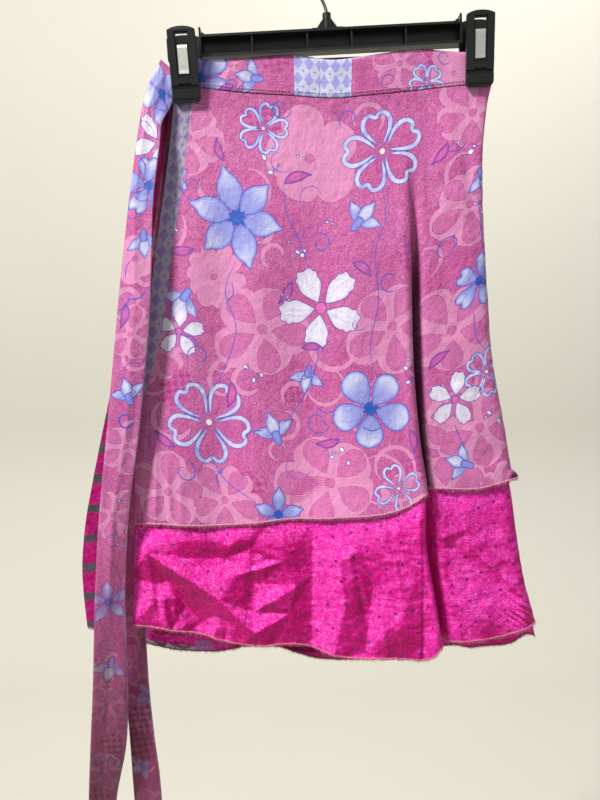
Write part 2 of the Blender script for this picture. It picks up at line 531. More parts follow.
    def band_curl(self, points, w=3.2):
        """A broad pale curl, tone on tone."""
        mid = spline(points, 6, closed=False)
        d = np.gradient(mid, axis=0)
        nrm = np.stack([-d[:, 1], d[:, 0]], 1) / np.maximum(np.linalg.norm(d, axis=1, keepdims=True), 1e-6)
        f = np.linspace(0, 1, len(mid))[:, None]
        ww = w * np.clip(np.sin(math.pi * np.clip(f * 0.9 + 0.07, 0, 1)) + 0.15, 0, 1)
        self.shape("tone", np.concatenate([mid + nrm * ww, (mid - nrm * ww)[::-1]]))

    def pebbles(self, places):
        for k, (x, y, r) in enumerate(places):
            self.shape("fore", ring_of(x, y, r, 0.7 + 0.25 * math.sin(3 * k), 0.9 * k), CREAM if k % 2 else WHITE)

    def checks(self, cx, cy, r, k=0.6, angle=0.3):
        self.shape("check", ring_of(cx, cy, r, k, angle))

    def tendril(self, points, w=0.6, colour=BLUE, channel="one"):
        self.line(channel, points, w, colour)


def curl(cx, cy, r, start, turns, grow=0.0, n=14):
    return [(cx + (r + grow * k / n) * math.cos(math.radians(start + 360 * turns * k / n)),
             cy + (r + grow * k / n) * math.sin(math.radians(start + 360 * turns * k / n))) for k in range(n + 1)]


# ---- meshes ----------------------------------------------------------------------------------------------------------
def add_object(name, verts_mm, faces, attrs=None, smooth_it=True):
    """faces is an (n, 4) or (n, 3) array, or a list of those."""
    groups = faces if isinstance(faces, list) else [faces]
    me = bpy.data.meshes.new(name)
    v = np.asarray(verts_mm, np.float32).reshape(-1, 3) * 0.001
    loops = np.concatenate([g.ravel() for g in groups]).astype(np.int32)
    sizes = np.concatenate([np.full(len(g), g.shape[1]) for g in groups])
    starts = np.concatenate([[0], np.cumsum(sizes)[:-1]]).astype(np.int32)
    me.vertices.add(len(v))
    me.vertices.foreach_set("co", v.ravel())
    me.loops.add(len(loops))
    me.loops.foreach_set("vertex_index", loops)
    me.polygons.add(len(sizes))
    me.polygons.foreach_set("loop_start", starts)
    me.polygons.foreach_set("use_smooth", np.full(len(sizes), smooth_it))
    me.update(calc_edges=True)
    me.validate()
    for key, a in (attrs or {}).items():
        a = np.asarray(a, np.float32)
        if a.ndim == 1:
            me.attributes.new(key, "FLOAT", "POINT").data.foreach_set("value", a)
        elif key.startswith("c_"):
            full = np.ones((len(a), 4), np.float32)
            full[:, :3] = a
            me.attributes.new(key, "FLOAT_COLOR", "POINT").data.foreach_set("color", full.ravel())
        else:
            me.attributes.new(key, "FLOAT_VECTOR", "POINT").data.foreach_set("vector", a.ravel())
    ob = bpy.data.objects.new(name, me)
    bpy.context.scene.collection.objects.link(ob)
    return ob


def grid_faces(rows, cols, flip=False, wrap=False):
    i, j = np.meshgrid(np.arange(rows - 1), np.arange(cols if wrap else cols - 1), indexing="ij")
    k = (j + 1) % cols
    a, b, c, d = i * cols + j, (i + 1) * cols + j, (i + 1) * cols + k, i * cols + k
    f = np.stack([a, b, c, d], -1).reshape(-1, 4)
    return f[:, ::-1] if flip else f


def facing(P, outward_y):
    """True where a grid's own turning order faces away from the side it shows."""
    a = P[0, -1] - P[0, 0]
    b = P[-1, 0] - P[0, 0]
    return np.cross(b, a)[1] * outward_y < 0


def print_attrs(pr, edge, extra=None):
    z = np.zeros(len(pr.p))
    out = {
        "cloth": np.stack([pr.p[:, 0], pr.p[:, 1], edge.ravel()], 1),
        "filled": np.stack([pr.sd["back"], pr.sd["mid"], pr.sd["fore"]], 1),
        "tonal": np.stack([pr.sd["tone"], pr.sd["inner"], pr.sd["check"]], 1),
        "plume": np.stack([pr.sd["plume"], pr.plume_at, pr.vein], 1),
        "ink_a": np.stack([pr.side["one"], pr.wide["one"], pr.side["two"]], 1),
        "ink_b": np.stack([pr.wide["two"], pr.side["ribbon"], pr.wide["ribbon"]], 1),
        "c_back": pr.col["back"], "c_mid": pr.col["mid"], "c_fore": pr.col["fore"], "c_ribbon": pr.ink["ribbon"],
        "c_line": pr.ink["two"],
    }
    out["place"] = np.stack([z, z, z], 1) if extra is None else extra
    return out


# ---- shader trees ----------------------------------------------------------------------------------------------------
class Tree:
    def __init__(self, name):
        self.mat = bpy.data.materials.new(name)
        self.mat.use_nodes = True
        self.nt = self.mat.node_tree
        self.nt.nodes.clear()
        self.out = self.nt.nodes.new("ShaderNodeOutputMaterial")
        self.bsdf = self.nt.nodes.new("ShaderNodeBsdfPrincipled")
        self.nt.links.new(self.bsdf.outputs[0], self.out.inputs[0])

    def put(self, socket, value):
        if isinstance(value, bpy.types.NodeSocket):
            self.nt.links.new(value, socket)
        elif isinstance(value, (tuple, list, np.ndarray)):
            v = [float(x) for x in value]
            socket.default_value = v + [1.0] if len(v) == 3 and socket.type == "RGBA" else v
        else:
            socket.default_value = value

    def m(self, op, a, b=None, c=None, clamp=False):
        n = self.nt.nodes.new("ShaderNodeMath")
        n.operation, n.use_clamp = op, clamp
        for k, v in enumerate((a, b, c)):
            if v is not None:
                self.put(n.inputs[k], v)
        return n.outputs[0]

    def vec(self, op, a, b=None, scale=None):
        n = self.nt.nodes.new("ShaderNodeVectorMath")
        n.operation = op
        self.put(n.inputs[0], a)
        if b is not None:
            self.put(n.inputs[1], b)
        if scale is not None:
            self.put(n.inputs["Scale"], scale)
        return n.outputs[1] if op in ("LENGTH", "DOT_PRODUCT") else n.outputs[0]

    def xyz(self, a):
        n = self.nt.nodes.new("ShaderNodeSeparateXYZ")
        self.put(n.inputs[0], a)
        return n.outputs[0], n.outputs[1], n.outputs[2]

    def join(self, x, y, z=0.0):
        n = self.nt.nodes.new("ShaderNodeCombineXYZ")
        for k, v in enumerate((x, y, z)):
            self.put(n.inputs[k], v)
        return n.outputs[0]

    def attr(self, name, colour=False):
        n = self.nt.nodes.new("ShaderNodeAttribute")
        n.attribute_name = name
        return n.outputs["Color"] if colour else n.outputs["Vector"]

    def number(self, name):
        n = self.nt.nodes.new("ShaderNodeAttribute")
        n.attribute_name = name
        return n.outputs["Fac"]

    def mix(self, f, a, b):
        n = self.nt.nodes.new("ShaderNodeMix")
        n.data_type = "RGBA"
        self.put(n.inputs[0], f)
        self.put(n.inputs[6], a)
        self.put(n.inputs[7], b)
        return n.outputs[2]

    def noise(self, vector, scale, detail=2.0, rough=0.5, colour=False):
        n = self.nt.nodes.new("ShaderNodeTexNoise")
        self.put(n.inputs["Vector"], vector)
        self.put(n.inputs["Scale"], scale)
        self.put(n.inputs["Detail"], detail)
        self.put(n.inputs["Roughness"], rough)
        return n.outputs["Color"] if colour else n.outputs["Fac"]

    def inside(self, sd, soft=0.4):
        """1 where a signed distance is below 0."""
        return self.m("MULTIPLY_ADD", sd, -1 / soft, 0.5, clamp=True)

    def stroke(self, sd, half, soft=0.4):
        """1 within a distance of the line where a signed distance is 0; half may be a socket."""
        a = self.m("SUBTRACT", half, self.m("ABSOLUTE", sd))
        return self.m("MULTIPLY_ADD", a, 1 / soft, 0.5, clamp=True)

    def ramp(self, v, lo, hi):
        n = self.nt.nodes.new("ShaderNodeMapRange")
        n.clamp = True
        self.put(n.inputs[0], v)
        self.put(n.inputs[1], lo)
        self.put(n.inputs[2], hi)
        return n.outputs[0]

    def bump(self, height, distance, strength=1.0, normal=None):
        n = self.nt.nodes.new("ShaderNodeBump")
        self.put(n.inputs["Strength"], strength)
        self.put(n.inputs["Distance"], distance)
        self.put(n.inputs["Height"], height)
        if normal is not None:
            self.put(n.inputs["Normal"], normal)
        return n.outputs[0]

    def finish(self, colour, rough, normal=None, metallic=0.0, spec=0.5, sheen=0.0, sheen_rough=0.4, sheen_tint=None, coat=0.0, coat_rough=0.2, aniso=0.0, spec_tint=None):
        b = self.bsdf.inputs
        self.put(b["Base Color"], colour)
        self.put(b["Roughness"], rough)
        b["Metallic"].default_value = metallic
        b["Specular IOR Level"].default_value = spec
        if spec_tint is not None:
            b["Specular Tint"].default_value = (*[float(x) for x in spec_tint], 1)
        b["Sheen Weight"].default_value = sheen
        b["Sheen Roughness"].default_value = sheen_rough
        if sheen_tint is not None:
            b["Sheen Tint"].default_value = (*[float(x) for x in sheen_tint], 1)
        b["Coat Weight"].default_value = coat
        b["Coat Roughness"].default_value = coat_rough
        b["Anisotropic"].default_value = aniso
        if normal is not None:
            self.put(b["Normal"], normal)
        return self.mat


def weave(T, cloth, fine=1.0):
    """A thread-by-thread relief, in cloth millimetres, and a slubby unevenness."""
    s, t, _ = T.xyz(cloth)
    a = T.m("SINE", T.m("MULTIPLY", s, TAU / 0.62))
    b = T.m("SINE", T.m("MULTIPLY", t, TAU / 0.54))
    threads = T.m("MULTIPLY", T.m("ADD", a, b), 0.25 * fine)
    slub = T.noise(T.join(T.m("MULTIPLY", s, 0.10), T.m("MULTIPLY", t, 1.1)), 1.0, 2.0, 0.6)
    slub2 = T.noise(T.join(T.m("MULTIPLY", s, 1.1), T.m("MULTIPLY", t, 0.10), 7.0), 1.0, 2.0, 0.6)
    return threads, slub, slub2


def harlequin(T, cloth, wide=13.2, tall=15.6, peri=None, pale=None):
    """Diamonds in rows, every second row pale with a dot."""
    s, t, _ = T.xyz(cloth)
    wob = T.m("MULTIPLY", T.m("SUBTRACT", T.noise(cloth, 0.25, 2.0), 0.5), 1.4)
    a, b = T.m("MULTIPLY", T.m("ADD", s, wob), 1 / wide), T.m("MULTIPLY", T.m("ADD", t, wob), 1 / tall)
    u, v = T.m("ADD", a, b), T.m("SUBTRACT", a, b)
    fu, fv = T.m("FRACT", u), T.m("FRACT", v)
    parity = T.m("FRACT", T.m("MULTIPLY", T.m("ADD", T.m("FLOOR", u), T.m("FLOOR", v)), 0.5))
    odd = T.m("GREATER_THAN", parity, 0.25)
    cu, cv = T.m("ABSOLUTE", T.m("SUBTRACT", fu, 0.5)), T.m("ABSOLUTE", T.m("SUBTRACT", fv, 0.5))
    edge = T.m("MAXIMUM", cu, cv)
    lattice = T.ramp(edge, 0.42, 0.47)
    dot = T.m("SUBTRACT", 1.0, T.ramp(T.m("ADD", cu, cv), 0.10, 0.20))
    mott = T.noise(cloth, 0.35, 3.0, 0.6)
    p = T.mix(mott, lin(146, 142, 212) if peri is None else peri, lin(168, 166, 226))
    q = T.mix(mott, lin(184, 186, 214) if pale is None else pale, lin(204, 206, 226))
    q = T.mix(T.m("MULTIPLY", dot, 0.75), q, lin(120, 116, 176))
    c = T.mix(odd, p, q)
    return T.mix(T.m("MULTIPLY", lattice, 0.7), c, lin(204, 204, 232))


def print_material(name, shade=1.0, border=False, ground=None, deep=None, fade=None, hidden=None, dye=None, rim=False):
    T = Tree(name)
    cloth = T.attr("cloth")
    s, t, edge = T.xyz(cloth)
    big = T.noise(cloth, 0.021, 3.0, 0.55)
    mid = T.noise(cloth, 0.10, 3.0, 0.6)
    grain = T.noise(cloth, 0.62, 1.0, 0.6)
    speck = T.ramp(T.m("ADD", T.m("MULTIPLY", grain, 0.75), T.m("MULTIPLY", T.noise(cloth, 1.9, 1.0), 0.25)), 0.46, 0.55)
    base = T.mix(T.ramp(big, 0.36, 0.64), ground if ground is not None else lin(202, 100, 160), deep if deep is not None else lin(208, 120, 174))
    base = T.mix(T.m("MULTIPLY", T.ramp(mid, 0.42, 0.66), 0.45), base, lin(180, 70, 140))
    base = T.mix(T.m("MULTIPLY", speck, 0.66), base, lin(154, 52, 124))
    c = base
    tone_sd, inner_sd, check_sd = T.xyz(T.attr("tonal"))
    plume_sd, plume_at, vein = T.xyz(T.attr("plume"))
    # checks: a turned chequer in patches with missing squares
    ca, sa = math.cos(0.62), math.sin(0.62)
    u = T.m("MULTIPLY", T.m("ADD", T.m("MULTIPLY", s, ca), T.m("MULTIPLY", t, sa)), 1 / 5.0)
    v = T.m("MULTIPLY", T.m("SUBTRACT", T.m("MULTIPLY", t, ca), T.m("MULTIPLY", s, sa)), 1 / 5.0)
    par = T.m("GREATER_THAN", T.m("FRACT", T.m("MULTIPLY", T.m("ADD", T.m("FLOOR", u), T.m("FLOOR", v)), 0.5)), 0.25)
    cell = T.noise(T.join(T.m("FLOOR", u), T.m("FLOOR", v), 3.0), 0.77, 0.0)
    keep = T.ramp(T.m("ADD", T.m("MULTIPLY", check_sd, -0.05), cell), 0.42, 0.52)
    cm = T.m("MULTIPLY", T.m("MULTIPLY", par, keep), T.inside(check_sd))
    c = T.mix(T.m("MULTIPLY", cm, 0.62), c, lin(168, 36, 124))
    # tone on tone flowers
    tone = T.inside(tone_sd)
    light = T.mix(T.ramp(mid, 0.3, 0.7), lin(208, 130, 176), lin(214, 143, 186))
    c = T.mix(T.m("MULTIPLY", tone, 0.9), c, light)
    inner = T.inside(inner_sd)
    stip = T.mix(T.m("MULTIPLY", speck, 0.6), lin(203, 102, 164), lin(160, 54, 130))
    c = T.mix(T.m("MULTIPLY", inner, 0.72), c, stip)
    hair = T.m("MAXIMUM", T.stroke(tone_sd, 0.20, 0.35), T.m("MAXIMUM", T.stroke(inner_sd, 0.26, 0.35), T.m("MULTIPLY", T.stroke(T.m("ADD", inner_sd, 2.6), 0.14, 0.4), 0.7)))
    hair = T.m("MULTIPLY", hair, T.ramp(T.noise(cloth, 0.14, 2.0), 0.36, 0.52))
    c = T.mix(T.m("MULTIPLY", hair, 0.85), c, lin(128, 42, 108))
    # plumes
    barb = T.ramp(T.m("SINE", T.m("MULTIPLY", plume_at, TAU)), 0.1, 0.45)
    c = T.mix(T.m("MULTIPLY", T.m("MULTIPLY", barb, T.inside(plume_sd, 1.2)), 0.7), c, lin(166, 34, 120))
    # broad ribbons
    one_side, one_w, two_side = T.xyz(T.attr("ink_a"))
    two_w, rib_side, rib_w = T.xyz(T.attr("ink_b"))
    rib = T.stroke(rib_side, rib_w)
    c = T.mix(rib, c, T.mix(T.ramp(mid, 0.35, 0.65), T.attr("c_ribbon", True), PALE))
    rim = T.m("SUBTRACT", T.m("ABSOLUTE", rib_side), rib_w)
    rim = T.m("MULTIPLY", T.stroke(rim, 0.36), T.m("GREATER_THAN", rib_w, 0.15))
    c = T.mix(T.m("MULTIPLY", rim, 0.85), c, BLUE)
    # filled motifs, back to front
    fb, fm, ff = T.xyz(T.attr("filled"))
    hatch = T.m("MULTIPLY", T.stroke(T.m("SUBTRACT", T.m("FRACT", vein), 0.5), 0.08, 0.16), T.ramp(T.noise(cloth, 0.2, 2.0), 0.38, 0.55))
    wash = T.noise(T.join(T.m("MULTIPLY", vein, 0.5), T.m("MULTIPLY", t, 0.03)), 1.3, 2.0)
    for sd, col, h in ((fb, "c_back", 0.5), (fm, "c_mid", 0.5), (ff, "c_fore", 0.0)):
        fill = T.attr(col, True)
        if h:
            fill = T.mix(T.m("MULTIPLY", T.ramp(wash, 0.45, 0.8), 0.35), fill, DEEP)
            fill = T.mix(T.m("MULTIPLY", hatch, h), fill, BLUE)
        c = T.mix(T.inside(sd), c, fill)
        c = T.mix(T.m("MULTIPLY", T.stroke(sd, 0.36), 0.92), c, BLUE)
    # drawn lines
    c = T.mix(T.m("MULTIPLY", T.stroke(two_side, two_w), 0.85), c, T.attr("c_line", True))
    c = T.mix(T.m("MULTIPLY", T.stroke(one_side, one_w), 0.92), c, lin(70, 84, 188))
    if border:
        reach, recess, _ = T.xyz(T.attr("place"))
        strip = T.vec("SCALE", harlequin(T, T.join(edge, t), 12.0, 15.6), scale=T.m("MULTIPLY_ADD", T.ramp(t, 10.0, 130.0), 0.34, 0.50))
        strip = T.mix(0.22, strip, lin(122, 48, 80))
        c = T.mix(T.inside(reach, 0.6), c, strip)
    threads, slub, slub2 = weave(T, cloth)
    tone2 = T.m("MULTIPLY_ADD", T.m("ADD", slub, slub2), 0.16, 0.84 * shade + (shade - 1) * 0.16)
    tone2 = T.m("MULTIPLY", tone2, T.m("MULTIPLY_ADD", T.number("nap"), 0.7, 1.0))
    if fade:                                              # the cloth's dye runs deeper towards its end
        deepen = T.ramp(t, fade[0], fade[1])
        c = T.mix(T.m("MULTIPLY", T.m("MULTIPLY", T.ramp(t, fade[0] - 60, fade[0] + 20), T.ramp(t, fade[1] - 60, fade[1] - 240)), 0.20), c, lin(212, 84, 134))
        c = T.mix(T.m("MULTIPLY", deepen, 0.80), c, lin(132, 22, 62))
        c = T.mix(T.m("MULTIPLY", T.m("MULTIPLY", T.m("MAXIMUM", cm, T.m("MULTIPLY", hair, 0.7)), T.ramp(t, fade[0] - 60, fade[1] - 160)), 0.58), c, lin(82, 6, 44))
        c = T.mix(T.m("MULTIPLY", T.ramp(T.m("ADD", T.m("MULTIPLY", mid, 0.6), T.m("MULTIPLY", big, 0.4)), 0.50, 0.58), T.m("MULTIPLY", deepen, 0.42)), c, lin(92, 18, 58))
        tone2 = T.m("MULTIPLY", tone2, T.m("MULTIPLY_ADD", deepen, fade[2], 1.0))
    if dye is not None:
        c = T.mix(dye[0], c, dye[1])
    if rim:                                               # the selvedge's pale thread along the right edge
        pale = T.m("MULTIPLY", T.ramp(edge, 1.7, 0.5), T.m("MULTIPLY", T.ramp(s, 14.0, 20.0), T.ramp(s, 58.0, 50.0)))
        c = T.mix(T.m("MULTIPLY", pale, T.m("MULTIPLY_ADD", T.ramp(T.noise(cloth, 0.05, 2.0), 0.42, 0.58), 0.5, 0.3)), c, lin(206, 200, 234))
    if hidden:                                            # the part that runs between the layers, never in the light
        c = T.mix(T.m("MULTIPLY", T.ramp(t, hidden[1], hidden[0]), 0.88), c, lin(80, 2, 42))
    if border:                                            # handled less and never faded: deeper down in the fold
        c = T.mix(T.m("MULTIPLY", recess, 0.76), c, lin(70, 12, 48))
    c = T.vec("SCALE", c, scale=tone2)
    soft = T.noise(cloth, 0.12, 3.0, 0.55)
    h = T.m("ADD", T.m("MULTIPLY", threads, 0.02), T.m("ADD", T.m("MULTIPLY", slub, 0.10), T.m("MULTIPLY", slub2, 0.10)))
    n = T.bump(h, 0.001, 0.55)
    n = T.bump(soft, 0.0028, 0.35, n)
    return T.finish(c, 0.5, n, spec=0.42, sheen=0.22, sheen_rough=0.35, sheen_tint=lin(250, 220, 245))


def satin_material(name, stripes=False, shade=1.0):
    """Magenta satin with small dark dots on a slanted lattice; the back one has a striped border and a mixed hem."""
    T = Tree(name)
    cloth = T.attr("cloth")
    s, t, edge = T.xyz(cloth)
    s0, t0 = s, t
    drift = T.noise(cloth, 0.022, 1.0, 0.5, colour=True)
    dr, dg, _ = T.xyz(drift)
    s = T.m("ADD", s, T.m("MULTIPLY_ADD", dr, 9.0, -4.5))
    t = T.m("ADD", t, T.m("MULTIPLY_ADD", dg, 9.0, -4.5))
    # lattice of dots: cloth place = i * A + j * B, and the lattice lies at another angle past the panel's crease
    turn = T.m("GREATER_THAN", s0, 23.0)
    side = lambda l, r: T.m("MULTIPLY_ADD", turn, r - l, l)
    (A, B), (C, D) = ((26.2, 6.2), (-15.3, 11.0)), ((16.2, -3.6), (3.0, 23.0))
    ab, cd = A[0] * B[1] - A[1] * B[0], C[0] * D[1] - C[1] * D[0]
    i = T.m("ADD", T.m("MULTIPLY", s, side(B[1] / ab, D[1] / cd)), T.m("MULTIPLY", t, side(-B[0] / ab, -D[0] / cd)))
    j = T.m("ADD", T.m("MULTIPLY", s, side(-A[1] / ab, -C[1] / cd)), T.m("MULTIPLY", t, side(A[0] / ab, C[0] / cd)))
    fi, fj = T.m("SUBTRACT", T.m("FRACT", i), 0.5), T.m("SUBTRACT", T.m("FRACT", j), 0.5)
    dx = T.m("ADD", T.m("MULTIPLY", fi, side(A[0], C[0])), T.m("MULTIPLY", fj, side(B[0], D[0])))
    dy = T.m("ADD", T.m("MULTIPLY", fi, side(A[1], C[1])), T.m("MULTIPLY", fj, side(B[1], D[1])))
    r = T.m("SQRT", T.m("ADD", T.m("MULTIPLY", dx, dx), T.m("MULTIPLY", dy, dy)))
    wob = T.m("MULTIPLY", T.m("SUBTRACT", T.noise(cloth, 0.9, 1.0), 0.5), 0.9)
    dot = T.ramp(T.m("ADD", r, wob), 2.15, 0.95)
    which = T.noise(T.join(T.m("FLOOR", i), T.m("FLOOR", j), 1.0), 0.63, 0.0)
    s, t = s0, t0
    big, mid = T.noise(cloth, 0.03, 3.0, 0.6), T.noise(cloth, 0.16, 4.0, 0.62)
    grain = T.noise(T.join(T.m("MULTIPLY", s, 0.95), T.m("MULTIPLY", t, 0.85)), 1.0, 2.0, 0.7)
    fleck = T.noise(T.join(T.m("MULTIPLY", s, 0.50), T.m("MULTIPLY", t, 0.62), 9.0), 1.0, 3.0, 0.8)
    rows = T.noise(T.join(T.m("MULTIPLY", s, 0.10), T.m("MULTIPLY", t, 0.62), 4.0), 1.0, 2.0, 0.6)
    tip = T.number("nap")
    lit, dim = T.ramp(tip, -0.05, 0.10), T.ramp(tip, 0.0, -0.15)
    c = T.mix(T.ramp(big, 0.35, 0.65), lin(206, 6, 124), lin(220, 16, 144))
    c = T.mix(T.m("MULTIPLY", lit, 0.42), c, lin(236, 56, 186))
    c = T.mix(T.m("MULTIPLY", T.ramp(mid, 0.48, 0.62), T.m("MULTIPLY_ADD", lit, 0.3, 0.12)), c, lin(244, 64, 180))
    c = T.mix(T.m("MULTIPLY", T.ramp(grain, 0.5, 0.38), 0.42), c, lin(176, 0, 104))
    c = T.mix(T.m("MULTIPLY", dim, 0.9), c, lin(170, 0, 86))
    if not stripes:                                        # the left part hangs less in the light
        c = T.mix(T.m("MULTIPLY", T.ramp(s0, 34.0, 4.0), T.m("MULTIPLY_ADD", lit, -0.2, 0.42)), c, lin(188, 2, 104))
    spark = T.ramp(T.m("ADD", fleck, T.m("MULTIPLY", T.m("SUBTRACT", mid, 0.5), 0.35)), 0.51, 0.60)
    c = T.mix(T.m("MULTIPLY", spark, T.m("MULTIPLY_ADD", lit, 0.52, 0.16)), c, lin(250, 118, 218))
    crinkle = T.m("MULTIPLY", T.ramp(rows, 0.55, 0.62), T.ramp(big, 0.46, 0.56))
    c = T.mix(T.m("MULTIPLY", crinkle, T.m("MULTIPLY_ADD", lit, 0.34, 0.06)), c, lin(255, 136, 214))
    c = T.mix(T.m("MULTIPLY", dot, 0.84), c, T.mix(T.ramp(which, 0.42, 0.56), lin(112, 44, 132), lin(84, 22, 88)))
    if stripes:
        near, down, hem = T.xyz(T.attr("place"))
        wav = T.m("MULTIPLY", T.m("SUBTRACT", T.noise(cloth, 0.06, 2.0), 0.5), 5.0)
        ph = T.m("FRACT", T.m("MULTIPLY", T.m("ADD", down, wav), 1 / 32.0))
        bar = T.m("MULTIPLY", T.ramp(T.m("ABSOLUTE", T.m("SUBTRACT", ph, 0.5)), 0.17, 0.13), T.m("MULTIPLY", T.ramp(near, 30.0, 26.0), T.ramp(down, -78.0, -74.0)))
        bar = T.m("MULTIPLY", bar, T.ramp(T.m("ADD", mid, T.m("MULTIPLY", near, -0.004)), 0.25, 0.36))
        c = T.mix(T.m("MULTIPLY", bar, 0.93), c, T.mix(grain, lin(36, 66, 64), lin(74, 102, 98)))
        # the mixed border along the hem: grey-green and white, then a small floral, then magenta with dark marks
        reach = T.ramp(hem, 13.0, 11.0)
        left = T.m("MULTIPLY", T.ramp(s, -84.0, -88.0), T.ramp(near, 26.0, 32.0))
        wave2 = T.m("SINE", T.m("ADD", T.m("MULTIPLY", hem, 0.75), T.m("MULTIPLY", T.noise(cloth, 0.055, 2.0), 13.0)))
        grey = T.mix(T.ramp(wave2, -0.7, 0.7), lin(84, 102, 106), lin(182, 192, 196))
        grey = T.mix(T.ramp(T.noise(cloth, 0.22, 2.0), 0.60, 0.70), grey, lin(52, 52, 58))
        thin = T.ramp(T.m("MULTIPLY_ADD", T.noise(cloth, 0.09, 1.0), 4.0, hem), 8.4, 6.8)
        c = T.mix(T.m("MULTIPLY", thin, left), c, grey)
        floral = T.m("MULTIPLY", T.ramp(s, -90.0, -86.0), T.ramp(s, -66.0, -70.0))
        spots = T.ramp(T.noise(cloth, 0.42, 2.0), 0.46, 0.56)
        c = T.mix(T.m("MULTIPLY", reach, floral), c, T.mix(spots, lin(204, 92, 160), lin(150, 150, 214)))
        marks = T.m("MULTIPLY", T.ramp(T.noise(T.join(T.m("MULTIPLY", s, 0.11), T.m("MULTIPLY", t, 0.5)), 1.0, 3.0), 0.54, 0.6), T.ramp(s, -60.0, 0.0))
        c = T.mix(T.m("MULTIPLY", T.m("MULTIPLY", T.ramp(hem, 8.0, 6.0), marks), 0.85), c, T.mix(T.ramp(T.noise(cloth, 0.2, 1.0), 0.45, 0.55), lin(52, 6, 30), lin(30, 62, 44)))
        c = T.mix(T.m("MULTIPLY", T.m("MULTIPLY", T.ramp(hem, 14.0, 8.0), T.ramp(s0, 40.0, 90.0)), 0.55), c, lin(255, 52, 168))
        c = T.mix(T.m("MULTIPLY", T.m("MULTIPLY", T.ramp(near, 34.0, 28.0), T.m("SUBTRACT", 1.0, bar)), T.m("MULTIPLY_ADD", T.ramp(big, 0.4, 0.6), 0.3, 0.25)), c, lin(132, 0, 56))
    if stripes:                                            # high up between the layers it is never in the light
        hid = T.m("MAXIMUM", T.ramp(t, 232.0, 196.0), T.m("MULTIPLY", T.ramp(t, 470.0, 410.0), T.ramp(near, 30.0, 40.0)))
        c = T.mix(T.m("MULTIPLY", hid, 0.90), c, lin(74, 0, 30))
    c = T.vec("SCALE", c, scale=T.m("MULTIPLY_ADD", T.ramp(tip, -0.30, 0.15), 0.32, 0.77))
    threads, slub, slub2 = weave(T, cloth)
    crush = T.noise(cloth, 0.30, 4.0, 0.62)
    h = T.m("ADD", T.m("MULTIPLY", threads, 0.015), T.m("ADD", T.m("MULTIPLY", slub, 0.12), T.m("MULTIPLY", slub2, 0.12)))
    n = T.bump(h, 0.001, 0.6)
    n = T.bump(crush, 0.0011, 0.3, n)
    n = T.bump(T.noise(cloth, 0.05, 2.0, 0.5), 0.006, 0.35, n)
    rough = T.m("MULTIPLY_ADD", grain, 0.16, 0.36)
    return T.finish(c, rough, n, spec=0.5, sheen=0.0, spec_tint=lin(255, 120, 205))


def harlequin_material(name):
    T = Tree(name)
    cloth = T.attr("cloth")
    c = harlequin(T, cloth, 10.8, 14.9)
    threads, slub, slub2 = weave(T, cloth)
    c = T.vec("SCALE", c, scale=T.m("MULTIPLY_ADD", T.m("ADD", slub, slub2), 0.12, 0.88))
    n = T.bump(T.m("ADD", T.m("MULTIPLY", threads, 0.02), T.m("MULTIPLY", slub, 0.1)), 0.001, 0.5)
    n = T.bump(T.noise(cloth, 0.16, 3.0), 0.002, 0.35, n)
    return T.finish(c, 0.5, n, spec=0.4, sheen=0.2)


def thread_material(name, a, b, pitch=1.0, bare=None, gaps=True):
    T = Tree(name)
    run = T.number("run")
    k = T.m("FRACT", T.m("MULTIPLY", run, 1 / pitch))
    mott = T.noise(T.join(run, 0.0), 0.8, 2.0)
    c = T.mix(T.ramp(mott, 0.35, 0.65), a, b)
    if bare is not None:                                   # where the thread has worn or gapped, the cloth shows
        c = T.mix(T.m("MULTIPLY", T.ramp(T.noise(T.join(run, 5.0), 0.45, 2.0, 0.7), 0.50, 0.60), 0.7), c, bare)
    if gaps:
        c = T.mix(T.m("MULTIPLY", T.m("MULTIPLY", T.ramp(k, 0.50, 0.70), T.ramp(k, 1.0, 0.90)), 0.62), c, lin(118, 30, 74))
    tex = T.nt.nodes.new("ShaderNodeTexCoord")
    n = T.bump(T.noise(tex.outputs["Object"], 1500.0, 2.0), 0.0004, 0.5)
    return T.finish(c, 0.55, n, spec=0.35, sheen=0.3)


def plastic_material(name):
    T = Tree(name)
    tex = T.nt.nodes.new("ShaderNodeTexCoord")
    co = tex.outputs["Object"]
    fine, wide = T.noise(co, 900.0, 3.0, 0.6), T.noise(co, 60.0, 3.0, 0.6)
    dust = T.ramp(T.noise(co, 420.0, 2.0, 0.7), 0.70, 0.78)
    c = T.mix(wide, lin(13, 14, 13), lin(24, 25, 23))
    c = T.mix(T.m("MULTIPLY", dust, 0.35), c, lin(120, 120, 114))
    scuff = T.ramp(T.noise(T.vec("MULTIPLY", co, (30.0, 30.0, 240.0)), 1.0, 3.0, 0.6), 0.5, 0.8)
    rough = T.m("MULTIPLY_ADD", scuff, 0.18, 0.34)
    n = T.bump(fine, 0.0002, 0.35)
    n = T.bump(wide, 0.0010, 0.12, n)
    return T.finish(c, rough, n, spec=0.5)


def steel_material(name, bright, dark, rough=0.3, brushed=True):
    T = Tree(name)
    tex = T.nt.nodes.new("ShaderNodeTexCoord")
    co = tex.outputs["Object"]
    streak = T.noise(T.vec("MULTIPLY", co, (1800.0, 300.0, 60.0) if brushed else (500.0, 500.0, 500.0)), 1.0, 3.0, 0.6)
    spot = T.ramp(T.noise(co, 260.0, 2.0, 0.6), 0.62, 0.72)
    c = T.mix(streak, dark, bright)
    c = T.mix(T.m("MULTIPLY", spot, 0.3), c, lin(120, 112, 96))
    n = T.bump(streak, 0.0003, 0.3)
    return T.finish(c, T.m("MULTIPLY_ADD", streak, 0.15, rough), n, metallic=1.0)


